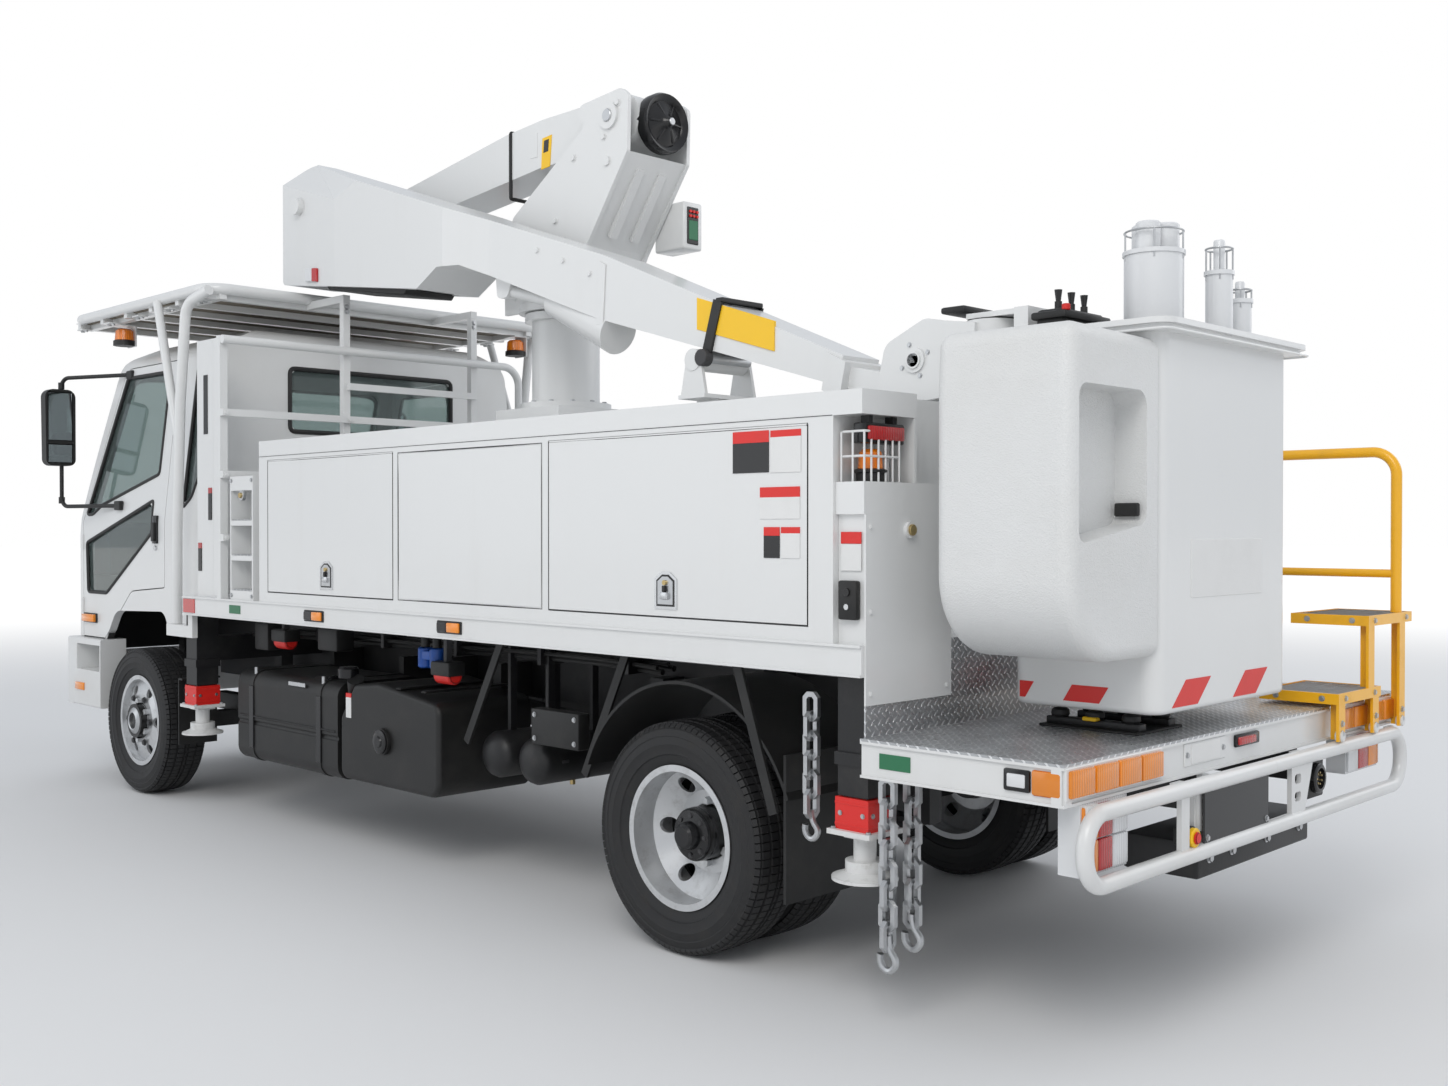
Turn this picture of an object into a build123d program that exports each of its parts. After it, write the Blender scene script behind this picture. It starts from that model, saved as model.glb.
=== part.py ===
from build123d import *
import math
import os

# Cherry picker truck, in millimetres. +Z is up, the front faces -Y and +X is the left side.
# The origin is on the ground, under the middle of the vehicle.

# Whole vehicle
overall_length = 7300.0
body_half_width = 1225.0
front_overhang = 1090.0
wheelbase = 4495.0
front_face_y = -overall_length / 2
rear_face_y = overall_length / 2
front_axle_y = front_face_y + front_overhang
rear_axle_y = front_axle_y + wheelbase

# Wheels and tyres
tyre_radius = 419.0
tyre_width = 236.0
rim_radius = 260.0
rim_width = 196.0
rim_flange_step = 12.0
rim_wall = 12.0
bead_gap = 0.4
front_track_half = 985.0
dual_outer_x = 972.0
dual_spacing = 286.0
hub_radius = 92.0
disc_thickness = 14.0
front_disc_x = 88.0
rear_disc_x = -62.0
stud_circle = 222.25
stud_count = 6
hand_hole_radius = 30.0
hand_hole_circle = 372.0
spindle_radius = 50.0
bearing_gap = 0.3
kingpin_x = 784.0
kingpin_radius = 20.0

# Chassis
frame_half_width = 420.0
frame_rail_height = 230.0
frame_rail_width = 80.0
frame_rail_wall = 10.0
frame_top_z = 960.0
frame_front_y = front_face_y + 230
spring_width = 80.0
spring_inner_x = 470.0
leaf_thickness = 24.0
bracket_gap = 1.0

# Cab
cab_front_y = front_face_y + 40
cab_length = 1810.0
cab_rear_y = cab_front_y + cab_length
cab_half_width = 1050.0
cab_roof_half_width = 950.0
cab_corner_radius = 150.0
cab_wall = 45.0
cab_bottom_z = 760.0
cab_rear_bottom_z = 921.0
cab_floor_z = 1060.0
cab_deck_z = 1100.0
cab_bend_z = 1480.0
cab_belt_z = 1560.0
cab_roof_z = 2640.0
arch_top_z = 1040.0
door_front_y = cab_front_y + 165
door_rear_y = cab_front_y + 1320
door_bottom_z = 858.0
door_sill_z = 1188.0
door_top_z = 2490.0
door_gap = 6.0
door_hinge_radius = 9.0
door_hinge_x = cab_half_width + 4
door_hinge_y = door_front_y + door_gap / 2
door_hinge_heights = (1010.0, 1400.0)
bumper_end_x = body_half_width - 120
bumper_end_inner_x = bumper_end_x - 155
glass_depth = 12.0
glass_thickness = 5.0
glass_gap = 1.0
driver_x = -420.0

# Tray, lockers and rear deck
deck_rear_y = rear_face_y - 53
tray_rear_y = deck_rear_y - 702
tray_front_y = cab_rear_y + 105
tray_bottom_z = 1072.0
tray_top_z = 1170.0
sheet = 8.0
channel_width = 40.0
channel_depth = 8.0
locker_front_y = tray_front_y + 826
locker_rear_y = tray_rear_y - 114
locker_top_z = 1949.0
locker_outer_x = body_half_width - 10
locker_inner_x = 620.0
locker_wall = 30.0
locker_door_bottom_z = 1222.0
locker_door_top_z = 1846.0
locker_door_thickness = 25.0
locker_door_gap = 6.0
locker_hinge_radius = 6.0
locker_hinge_x = locker_outer_x - 5
locker_hinge_z = locker_door_top_z + 3
front_door_span = (locker_front_y + 89, locker_front_y + 1181)
rear_door_span = (locker_rear_y - 1396, locker_rear_y - 107)
middle_panel_span = (front_door_span[1] + 45, rear_door_span[0] - 45)
canopy_bottom_z = 1873.0
deck_top_z = 890.0
deck_bottom_z = 772.0
column_inner_x = 768.0
ledge_bottom_z = 1568.0
ledge_top_z = 1668.0

# Roof rack and headboard guard
rack_half_width = body_half_width - 95
rack_tube_radius = 30.0
rack_tube_z = 2804.0
rack_front_y = cab_front_y + 166
rack_rear_y = tray_front_y + 94
rack_leg_radius = 28.0
rack_leg_x = body_half_width - 75
rack_leg_foot_z = 1010.0
guard_y = tray_front_y + 435
guard_depth = 40.0
guard_top_z = 2504.0
guard_tube_radius = 22.0

# Aerial device
slew_y = -6.0
pedestal_radius = 170.0
pedestal_flange_z = 2150.0
slew_ring_z = 2600.0
head_half_width = 200.0
plate_thickness = 20.0
arm_pivot = (slew_y + 566, 3450.0)
elbow_pivot = (arm_pivot[0] - 2105, 3290.0)
arm_half_width = 120.0
arm_end_radius = 118.0
elbow_end_radius = 92.0
boom_centre_x = 455.0
boom_box_half_width = 185.0
boom_tube_half_width = 125.0
pin_radius = 45.0
pin_clearance = 0.5
flange_gap = 8.0
basket_rear_y = deck_rear_y - 30
basket_front_y = basket_rear_y - 520
tip_pivot = (basket_front_y - 447, 2112.0)
tip_pin_radius = 30.0
cheek_gap = 6.0
cheek_thickness = 20.0
neck_half_width = 80.0
rotator_y = basket_front_y - 197
rotator_radius = 90.0
rotator_shaft_radius = 42.0
rotator_bottom_z = 1980.0
rotator_top_z = 2232.0
arm_clearance = 6.0

# Basket
basket_left_x = 644.0
basket_right_x = -273.0
basket_floor_z = 962.0
basket_top_z = 2150.0
basket_wall = 14.0
basket_corner_radius = 60.0
lip_width = 53.0
lip_depth = 35.0
cover_outer_x = 1130.0
cover_bottom_z = 1138.0
cover_top_z = 2104.0
cover_corner_radius = 250.0
cover_edge_radius = 45.0

# Outriggers
jack_x = body_half_width - 125
front_jack_y = tray_front_y - 27
rear_jack_y = tray_rear_y - 80
jack_sleeve = 120.0
jack_sleeve_bottom_z = 694.0
jack_wall = 8.0
jack_gap = 5.0
jack_foot_z = 430.0
jack_foot_radius = 105.0

# Bumper and steps at the rear
bumper_tube_radius = 25.0
bumper_y = rear_face_y - bumper_tube_radius
bumper_half_width = body_half_width - 60
bumper_low_z = 545.0
bumper_high_z = deck_bottom_z - bumper_tube_radius - 1
step_right_x = -1218.0
step_left_x = -782.0
step_z = 1205.0
low_step_right_x = -902.0
low_step_left_x = -509.0
low_step_z = 941.0
step_rail_x = -1120.0
grab_rail_z = 1820.0
grab_rail_front_y = deck_rear_y - 537
mid_rail_z = 1352.0
step_frame_height = 38.0
step_frame_wall = 8.0

# Chain links
link_length = 95.0
link_width = 62.0
link_bar = 16.0
link_pitch = link_length - 2 * link_bar - 1


def block(x0, x1, y0, y1, z0, z1):
    """A box between its two corners."""
    size = (abs(x1 - x0), abs(y1 - y0), abs(z1 - z0))
    centre = ((x0 + x1) / 2, (y0 + y1) / 2, (z0 + z1) / 2)
    return Pos(*centre) * Box(*size)


def rod_x(x0, x1, y, z, radius):
    """A round bar along X."""
    return Pos((x0 + x1) / 2, y, z) * Rot(0, 90, 0) * Cylinder(radius, abs(x1 - x0))


def rod_y(x, y0, y1, z, radius):
    """A round bar along Y."""
    return Pos(x, (y0 + y1) / 2, z) * Rot(90, 0, 0) * Cylinder(radius, abs(y1 - y0))


def rod_z(x, y, z0, z1, radius):
    """A round bar along Z."""
    return Pos(x, y, (z0 + z1) / 2) * Cylinder(radius, abs(z1 - z0))


def outline_face(points, inset=0.0):
    """A flat face inside (a, b) or (a, b, corner radius) points, drawn in by an inset."""
    corners = [(point[0], point[1]) for point in points]
    radii = [point[2] if len(point) == 3 else 0.0 for point in points]
    if any(radii):
        wire = FilletPolyline(*corners, radius=radii, close=True)
    else:
        wire = Polyline(*corners, close=True)
    face = make_face(wire)
    if inset:
        face = offset(face, amount=-inset, kind=Kind.INTERSECTION)
    return face


def side_plate(points, x0, x1, inset=0.0):
    """A plate cut to an outline of (y, z) points, between two X places."""
    face = Plane(origin=(x0, 0, 0), x_dir=(0, 1, 0), z_dir=(1, 0, 0)) * outline_face(points, inset)
    return extrude(face, x1 - x0)


def front_plate(points, y0, y1, inset=0.0):
    """A plate cut to an outline of (x, z) points, between two Y places."""
    face = Plane(origin=(0, y0, 0), x_dir=(1, 0, 0), z_dir=(0, -1, 0)) * outline_face(points, inset)
    return extrude(face, -(y1 - y0))


def plan_plate(points, z0, z1, inset=0.0):
    """A plate cut to an outline of (x, y) points, between two heights."""
    return extrude(Pos(0, 0, z0) * outline_face(points, inset), z1 - z0)


def bent_tube(points, radius, bend, close=False):
    """A round tube that follows straight runs joined by bends of one radius."""
    path = FilletPolyline(*points, radius=bend, close=close)
    return sweep(Plane(path.location_at(0)) * Circle(radius), path=path)


def straight_tube(start, end, radius):
    """A round tube between two points."""
    path = Line(start, end)
    return sweep(Plane(path.location_at(0)) * Circle(radius), path=path)


def slanted_bar(x, start, end, width, thickness):
    """A flat bar in a plane of constant X, between two (y, z) points."""
    run = Vector(end[0] - start[0], end[1] - start[1]).normalized() * (width / 2)
    across = (-run.Y, run.X)
    corners = [
        (start[0] - across[0], start[1] - across[1]), (start[0] + across[0], start[1] + across[1]),
        (end[0] + across[0], end[1] + across[1]), (end[0] - across[0], end[1] - across[1]),
    ]
    return side_plate(corners, x - thickness / 2, x + thickness / 2)


def mirrored(shape):
    """The same piece on the other side of the vehicle."""
    return mirror(shape, about=Plane.YZ)


def both_sides(shape):
    """A piece and its mirror image, as separate solids."""
    return group(shape, mirrored(shape))


def group(*shapes):
    """Pieces that share a node."""
    solids = []
    for shape in shapes:
        solids.extend(shape.solids())
    return Compound(children=solids)


def wheel_profile(points):
    """A wheel section of (x, radius) points, turned about the X axis."""
    face = Plane(origin=(0, 0, 0), x_dir=(1, 0, 0), z_dir=(0, -1, 0)) * outline_face(points)
    return revolve(face, axis=Axis.X, revolution_arc=360)


def tyre():
    """A tyre about the X axis, open at the bead."""
    half = tyre_width / 2
    bead = rim_width / 2 - rim_flange_step - bead_gap - 2
    inner = rim_radius - rim_flange_step + bead_gap
    middle = (rim_radius + tyre_radius) / 2
    right = [(half / 2, tyre_radius), (half - 12, tyre_radius - 22), (half, middle), (bead, inner)]
    left = [(-x, radius) for x, radius in reversed(right)]
    return wheel_profile(left + right)


def rim(disc_x, dish):
    """A steel rim about the X axis, with its disc at disc_x and the dish's depth."""
    half = rim_width / 2
    inner = rim_radius - rim_flange_step
    bore = inner - rim_wall
    barrel = wheel_profile([
        (-half, rim_radius), (-half + rim_flange_step, inner), (half - rim_flange_step, inner),
        (half, rim_radius), (half, bore), (-half, bore),
    ])
    knee = stud_circle / 2 + 40
    disc = wheel_profile([
        (disc_x, hub_radius), (disc_x, knee), (disc_x - dish, bore + 1),
        (disc_x - dish - disc_thickness, bore + 1), (disc_x - disc_thickness, knee),
        (disc_x - disc_thickness, hub_radius),
    ])
    wheel = barrel + disc
    for index in range(stud_count):
        turn = math.radians(60 * index)
        y = hand_hole_circle / 2 * math.cos(turn)
        z = hand_hole_circle / 2 * math.sin(turn)
        wheel -= rod_x(-2 * rim_width, 2 * rim_width, y, z, hand_hole_radius)
    return wheel


def studs(disc_x):
    """The wheel nuts, as one ring of short bars on the disc."""
    bars = []
    for index in range(stud_count):
        turn = math.radians(60 * index + 30)
        y = stud_circle / 2 * math.cos(turn)
        z = stud_circle / 2 * math.sin(turn)
        nut = Pos(disc_x + 12, y, z) * Rot(0, 90, 0) * extrude(RegularPolygon(17, 6), 14, both=True)
        bars.append(nut)
    return bars


def hub(x0, x1, bore_end):
    """A hub barrel with a bore for its spindle."""
    return rod_x(x0, x1, 0, 0, hub_radius + 4) - rod_x(x0 - 1, bore_end, 0, 0, spindle_radius + bearing_gap)


def front_rim():
    """The left front rim with its hub cap, disc pushed outwards."""
    wheel = rim(front_disc_x, 26) + hub(-60, 128, 60)
    for stud in studs(front_disc_x):
        wheel += stud
    return wheel


def rear_rims():
    """The left rear pair of rims, dished inwards, joined at the hub."""
    outer = rim(rear_disc_x, rear_disc_x)
    inner = Pos(-dual_spacing, 0, 0) * mirror(outer, about=Plane.YZ)
    wheels = outer + inner + hub(-270, 20, -18)
    for stud in studs(rear_disc_x):
        wheels += stud
    return wheels


def at_wheel(shape, x, y):
    """A wheel piece moved onto its axle."""
    return Pos(x, y, tyre_radius) * shape


def chassis_frame():
    """Two channel side members with their cross members and tail rails."""
    top = frame_top_z
    bottom = frame_top_z - frame_rail_height
    outer = frame_half_width
    inner = frame_half_width - frame_rail_width
    rear = tray_rear_y - 15
    rail = block(inner, outer, frame_front_y, rear, bottom, top)
    rail -= block(
        inner - 1, outer - frame_rail_wall, frame_front_y - 1, rear + 1,
        bottom + frame_rail_wall, top - frame_rail_wall,
    )
    frame = rail + mirrored(rail)
    cross_members = (
        front_axle_y - 810, front_axle_y + 1160, front_axle_y + 1860, rear_axle_y - 1435,
        rear_axle_y - 435, rear_axle_y + 565, rear - 40,
    )
    for y in cross_members:
        frame += block(-outer + 5, outer - 5, y - 35, y + 35, bottom + 30, top - 30)
    tail = block(inner, outer, rear - 280, deck_rear_y - 60, deck_bottom_z - 122, deck_bottom_z + 20)
    return frame + tail + mirrored(tail)


def axles():
    """The front beam and the rear axle casing with its differential."""
    beam_low = tyre_radius - 75
    beam = block(-760, 760, front_axle_y - 45, front_axle_y + 45, beam_low, tyre_radius + 15)
    eye = block(kingpin_x - 29, kingpin_x + 28, front_axle_y - 40, front_axle_y + 40, beam_low, tyre_radius + 75)
    eye -= rod_z(kingpin_x, front_axle_y, 0, 2 * tyre_radius, kingpin_radius + pin_clearance)
    front = beam + eye + mirrored(eye)
    casing = rod_x(-560, 560, rear_axle_y, tyre_radius, 62)
    casing += rod_x(-150, 150, rear_axle_y, tyre_radius, 185)
    casing += rod_y(0, rear_axle_y - 300, rear_axle_y, tyre_radius, 75)
    spindle = rod_x(550, 950, rear_axle_y, tyre_radius, spindle_radius)
    return group(front, casing + spindle + mirrored(spindle))


def leaf_spring(axle_y, half_span, seat_z):
    """One left spring of stepped leaves between its two hangers."""
    inner = spring_inner_x
    outer = spring_inner_x + spring_width
    spring = block(inner, outer, axle_y - half_span, axle_y + half_span, seat_z, seat_z + leaf_thickness)
    for step, share in ((1, 0.75), (2, 0.5), (3, 0.28)):
        low = seat_z + leaf_thickness * step
        reach = half_span * share
        spring += block(inner, outer, axle_y - reach, axle_y + reach, low - 1, low + leaf_thickness)
    for end in (axle_y - half_span, axle_y + half_span):
        spring += block(inner + 5, outer - 5, end - 40, end + 40, seat_z + 10, frame_top_z - 60)
        spring += block(
            frame_half_width + bracket_gap, inner + 20, end - 40, end + 40,
            frame_top_z - 150, frame_top_z - 60,
        )
    return spring


def leaf_springs():
    """Four leaf springs with their hanger brackets."""
    front = leaf_spring(front_axle_y, 620, tyre_radius + 16)
    rear = leaf_spring(rear_axle_y, 680, tyre_radius + 63)
    return group(front, rear, mirrored(front), mirrored(rear))


def driveline():
    """The engine as one plain block, with its gearbox and propeller shaft."""
    engine = block(-300, 300, front_axle_y - 590, front_axle_y + 310, 600, 1015)
    gearbox = block(-170, 170, front_axle_y + 309, front_axle_y + 940, 600, 860)
    start = (0, front_axle_y + 941, 700)
    shaft = straight_tube(start, (0, rear_axle_y - 312, tyre_radius + 20), 45)
    return group(engine + gearbox, shaft)


def cab_side_points():
    """The cab's side outline of (y, z, corner radius) points."""
    front = cab_front_y
    arch_front = front_axle_y - 550
    arch_rear = front_axle_y + 331
    return [
        (front + 45, cab_bottom_z, 30), (front, cab_bend_z, 60), (front + 22, cab_belt_z + 30, 60),
        (front + 480, 2480, 160), (front + 660, cab_roof_z, 160), (cab_rear_y, cab_roof_z, 90),
        (cab_rear_y, cab_rear_bottom_z, 20), (arch_rear, cab_rear_bottom_z + 7),
        (arch_rear - 75, arch_top_z + 15, 90), (arch_front + 150, arch_top_z - 5, 130),
        (arch_front, 850, 60), (arch_front - 10, cab_bottom_z),
    ]


def cab_cross_points():
    """The cab's outline seen from the front, of (x, z, corner radius) points."""
    wide = cab_half_width
    roof = cab_roof_half_width
    crown = cab_roof_z + 10
    right = [(wide, 600), (wide, cab_belt_z, 300), (roof, 2530, 130), (roof - 250, crown, 400)]
    left = [(-point[0], *point[1:]) for point in reversed(right)]
    return right + left


def cab_plan_points():
    """The cab's outline seen from above, crowned across the front, with rounded corners."""
    wide = cab_half_width + 10
    rear = cab_rear_y + 600
    return [
        (-wide, rear), (-wide, cab_front_y + 30, cab_corner_radius), (0, cab_front_y - 30, 3000),
        (wide, cab_front_y + 30, cab_corner_radius), (wide, rear),
    ]


def cab_corners(inset):
    """A column with the cab's rounded front corners, leaning back above the belt like the windscreen."""
    outline = outline_face(cab_plan_points(), inset)
    belt = cab_belt_z + 30
    upright = extrude(Pos(0, 0, 500) * outline, cab_bend_z - 500)
    rise = Vector(0, 22, belt - cab_bend_z)
    middle = extrude(Pos(0, 0, cab_bend_z) * outline, rise.length, dir=tuple(rise.normalized()))
    slope = Vector(0, 458, 2480 - belt) * 1.3
    leaning = extrude(Pos(0, 22, belt) * outline, slope.length, dir=tuple(slope.normalized()))
    return upright + middle + leaning


def cab_solid(inset):
    """The cab's outer form, or its inside when inset."""
    long_form = side_plate(cab_side_points(), -cab_half_width - 5, cab_half_width + 5, inset)
    cross_form = front_plate(cab_cross_points(), cab_front_y - 10, cab_rear_y + 10, inset)
    return long_form & cross_form & cab_corners(inset)


def door_points():
    """The door's outline of (y, z, corner radius) points."""
    arch_front = front_axle_y - 560
    return [
        (door_front_y, door_bottom_z), (door_front_y, cab_belt_z + 10, 80),
        (door_front_y + 437, door_top_z, 120), (door_rear_y, door_top_z, 60),
        (door_rear_y, door_sill_z, 20), (front_axle_y - 177, door_sill_z - 32, 120),
        (arch_front, door_bottom_z),
    ]


def main_window():
    """The door's main window, of (y, z, corner radius) points."""
    y = door_front_y
    return [
        (y + 55, 1612, 20), (y + 140, 1613), (y + 276, 1672), (y + 1030, 1838, 90),
        (y + 1048, 2428, 80), (y + 463, 2431, 60),
    ]


def lower_window():
    """The door's slanted lower window, of (y, z, corner radius) points."""
    y = door_front_y
    return [
        (y + 57, 1440, 40), (y + 985, 1688, 60), (y + 985, 1500, 60), (y + 351, 1136, 50), (y + 75, 1136, 40),
    ]


def quarter_window():
    """The slim window behind the door, of (y, z, corner radius) points."""
    y = cab_rear_y
    return [(y - 275, 1640, 30), (y - 180, 1700, 60), (y - 66, 1900, 60), (y - 66, 2480, 50), (y - 245, 2480, 50)]


def window_cutter(points):
    """A prism through both cab sides for a window."""
    return side_plate(points, -cab_half_width - 20, cab_half_width + 20)


def left_prism(points, gap=0.0):
    """A prism through the cab's left side, drawn in by a gap."""
    return side_plate(points, cab_roof_half_width / 2, cab_half_width + 20, gap)


def windscreen_cutter(inset):
    """The windscreen opening, cut square to the front."""
    half = cab_half_width - 120
    outline = [
        (-half, cab_belt_z + 80, 60), (half, cab_belt_z + 80, 60),
        (half - 75, cab_roof_z - 190, 80), (-half + 75, cab_roof_z - 190, 80),
    ]
    return front_plate(outline, cab_front_y - 20, cab_front_y + 560, inset)


def rear_window_cutter(inset):
    """The rear window opening."""
    outline = [(-543, 2075, 70), (543, 2075, 70), (543, 2433, 70), (-543, 2433, 70)]
    return front_plate(outline, cab_rear_y - 100, cab_rear_y + 20, inset)


def cab_skin(depth, thickness):
    """A layer inside the cab's outer form."""
    return cab_solid(depth) - cab_solid(depth + thickness)


def side_skin(depth, thickness):
    """A layer inside the cab's sides only, without its front, arches and floor."""
    deeper = front_plate(cab_cross_points(), cab_front_y - 20, cab_rear_y + 20, depth + thickness)
    return cab_solid(depth) - deeper


def door_hinges(radius):
    """The left door's hinge barrels on their upright axis."""
    return [
        rod_z(door_hinge_x, door_hinge_y, height, height + 90, radius) for height in door_hinge_heights
    ]


def cab_shell():
    """The hollow cab with its floor, arch lips and skirts, without its doors."""
    room = block(-1200, 1200, cab_front_y, cab_rear_y, cab_deck_z, cab_roof_z)
    inside = cab_solid(cab_wall) & room
    skirt_x = cab_half_width - cab_wall
    under = block(-skirt_x, skirt_x, cab_front_y + 75, cab_rear_y + 10, 700, cab_floor_z)
    shell = cab_solid(0) - inside - under
    skin = side_skin(0, cab_wall) & left_prism(door_points())
    shell = shell - skin - mirrored(skin)
    corner = block(
        bumper_end_inner_x - 5, cab_half_width + 10, cab_front_y - 10, front_axle_y - 520,
        cab_bottom_z - 10, door_bottom_z,
    )
    shell = shell - corner - mirrored(corner)
    for barrel in door_hinges(door_hinge_radius + 2):
        shell = shell - barrel - mirrored(barrel)
    shell -= windscreen_cutter(0)
    shell -= rear_window_cutter(0)
    shell -= window_cutter(quarter_window())
    return shell


def cab_glazing():
    """Windscreen, rear window and quarter windows."""
    skin = cab_skin(glass_depth, glass_thickness)
    screen = skin & windscreen_cutter(glass_gap)
    rear = skin & rear_window_cutter(glass_gap)
    side = skin & left_prism(quarter_window(), glass_gap)
    return group(screen, rear, side, mirrored(side))


def cab_door():
    """The left cab door with its two window openings and hinge barrels."""
    door = side_skin(0, cab_wall) & left_prism(door_points(), door_gap)
    door -= window_cutter(main_window())
    door -= window_cutter(lower_window())
    for barrel in door_hinges(door_hinge_radius):
        door += barrel
    return door


def door_glass():
    """The left door's two windows."""
    skin = side_skin(glass_depth, glass_thickness)
    return group(*[skin & left_prism(outline, glass_gap) for outline in (main_window(), lower_window())])


def mirror_assembly():
    """The left mirror's bent stays and its head with two glasses."""
    y = door_front_y - 25
    arm_x = cab_half_width + 120
    stay = bent_tube([
        (cab_roof_half_width - 5, y + 530, 2452), (arm_x, y, 2452), (arm_x, y, 2330),
    ], 12, 60)
    low_stay = bent_tube([(arm_x, y, 1960), (arm_x, y, 1662), (cab_half_width - 15, y + 590, 1662)], 12, 60)
    housing = front_plate([
        (cab_half_width + 50, 1912, 40), (cab_half_width + 225, 1912, 40),
        (cab_half_width + 231, 2380, 50), (cab_half_width + 50, 2380, 50),
    ], y - 32, y + 40)
    glass_x = (cab_half_width + 64, cab_half_width + 216)
    for low, high in ((2062, 2366), (1926, 2048)):
        housing -= block(*glass_x, y + 30, y + 41, low, high)
    return housing + stay + low_stay - cab_solid(0)


def dashboard():
    """The dashboard across the cab."""
    front = cab_front_y
    return side_plate([
        (front + 120, 1240), (front + 120, 1560, 40), (front + 300, 1560, 60), (front + 370, 1400, 40),
        (front + 370, 1240),
    ], -960, 960)


def cab_interior():
    """Dashboard, seats and engine cover."""
    front = cab_front_y
    cover = side_plate([
        (front + 371, cab_deck_z), (front + 371, 1300, 60), (front + 1460, 1300, 60), (front + 1460, cab_deck_z),
    ], -330, 330)
    seats = []
    for x in (640, -640):
        cushion = block(x - 240, x + 240, front + 760, front + 1280, 1300, 1430)
        cushion = fillet(cushion.edges().filter_by(Axis.X), 40)
        back = Pos(x, front + 1310, 1700) * Rot(-10, 0, 0) * Box(460, 110, 640)
        base = block(x - 170, x + 170, front + 810, front + 1230, cab_deck_z, 1301)
        seats.append(cushion + back + base)
    return group(dashboard(), cover, *seats)


def steering_wheel():
    """The steering wheel with its spokes and column, leaning towards the driver."""
    turns = [math.radians(30 * index) for index in range(12)]
    path = Polyline(*[(215 * math.cos(turn), 215 * math.sin(turn)) for turn in turns], close=True)
    ring = offset(make_face(path), amount=14) - offset(make_face(path), amount=-14)
    wheel = extrude(ring, 12, both=True) + Box(410, 44, 14) + Box(44, 410, 14)
    wheel += Pos(0, 0, -8) * Cylinder(45, 30)
    wheel += Pos(0, 0, -130) * Cylinder(26, 240)
    return Pos(driver_x, cab_front_y + 500, 1600) * Rot(-35, 0, 0) * wheel - dashboard()


def front_bumper():
    """The wrap-round bumper with its plate recess and its boxed step ends."""
    front = front_face_y
    wide = bumper_end_x
    shell = plan_plate([
        (-wide, front + 180), (-wide, front + 60, 90), (-wide + 250, front, 200), (wide - 250, front, 200),
        (wide, front + 60, 90), (wide, front + 180),
    ], 441, 752)
    shell -= block(-wide + 60, wide - 60, front + 80, front + 200, 400, 800)
    shell -= block(-265, 265, front - 1, front + 12, 520, 640)
    end = block(bumper_end_inner_x, wide, front + 100, front + 593, 441, door_bottom_z - 2)
    end = fillet(end.edges().filter_by(Axis.Y).sort_by(Axis.X)[-2:], 12)
    end -= block(wide - 140, wide + 1, front + 238, front + 580, 663, 820)
    end -= block(wide - 140, wide - 15, front + 90, front + 580, 430, 636)
    return shell + end + mirrored(end)


def grille():
    """The dark grille panel with its slats, between the head lamps."""
    front = cab_front_y
    frame = front_plate([(-620, 880, 30), (620, 880, 30), (560, 1200, 30), (-560, 1200, 30)], front - 20, front - 1)
    frame -= front_plate([(-570, 910), (570, 910), (525, 1170), (-525, 1170)], front - 21, front - 8)
    for row in range(6):
        low = 922 + 42 * row
        reach = 568 - (low - 910) * 45 / 260
        frame += block(-reach, reach, front - 30, front - 7, low, low + 16)
    return frame


def lamps():
    """Head lamps at the front and the rear lamp clusters."""
    head = front_plate([(660, 860, 30), (960, 870, 40), (955, 1030, 40), (640, 1040, 30)],
                       cab_front_y - 26, cab_front_y + 6)
    head -= cab_solid(0)
    cluster_z = (deck_bottom_z - 202, deck_bottom_z - 1)
    left = block(890, 1140, deck_rear_y - 70, deck_rear_y, *cluster_z)
    right = block(-1000, -700, deck_rear_y - 70, deck_rear_y, cluster_z[0] + 60, cluster_z[1])
    return group(head, mirrored(head), left, right)


def mudguards():
    """Rear mudguards with their flaps and slanted stays, and the front flaps."""
    inner = dual_outer_x - dual_spacing - tyre_width / 2 - 10
    outer = dual_outer_x + tyre_width / 2 - 30
    guard = rod_x(inner, outer, rear_axle_y, tyre_radius, 560)
    guard -= rod_x(inner - 1, outer + 1, rear_axle_y, tyre_radius, 548)
    guard &= block(inner, outer, rear_axle_y - 600, rear_axle_y + 600, 620, 1040)
    guard += block(inner, outer, rear_axle_y + 500, rear_axle_y + 512, 270, 770)
    guard += block(inner - 90, inner + 30, rear_axle_y - 30, rear_axle_y + 30, 940, 985)
    pieces = [guard]
    for x, top, foot in (
        (jack_x + 40, (rear_axle_y + 362, tray_bottom_z), (rear_axle_y + 531, 587)),
        (jack_x - 100, (rear_axle_y - 345, tray_bottom_z), (rear_axle_y - 598, 563)),
        (jack_x - 100, (rear_axle_y - 1127, tray_bottom_z), (rear_axle_y - 1383, 610)),
    ):
        bar = slanted_bar(x, top, foot, 38, 12)
        pieces.append(bar - block(x - 50, x + 50, top[0] - 90, top[0] + 90, tray_bottom_z, tray_top_z))
    flap = block(865, 1085, front_axle_y + 512, front_axle_y + 520, 330, 700)
    flap += block(865, 1085, front_axle_y + 512, front_axle_y + 560, 690, 700)
    pieces.append(flap)
    return group(*pieces, *[mirrored(piece) for piece in pieces])


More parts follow.
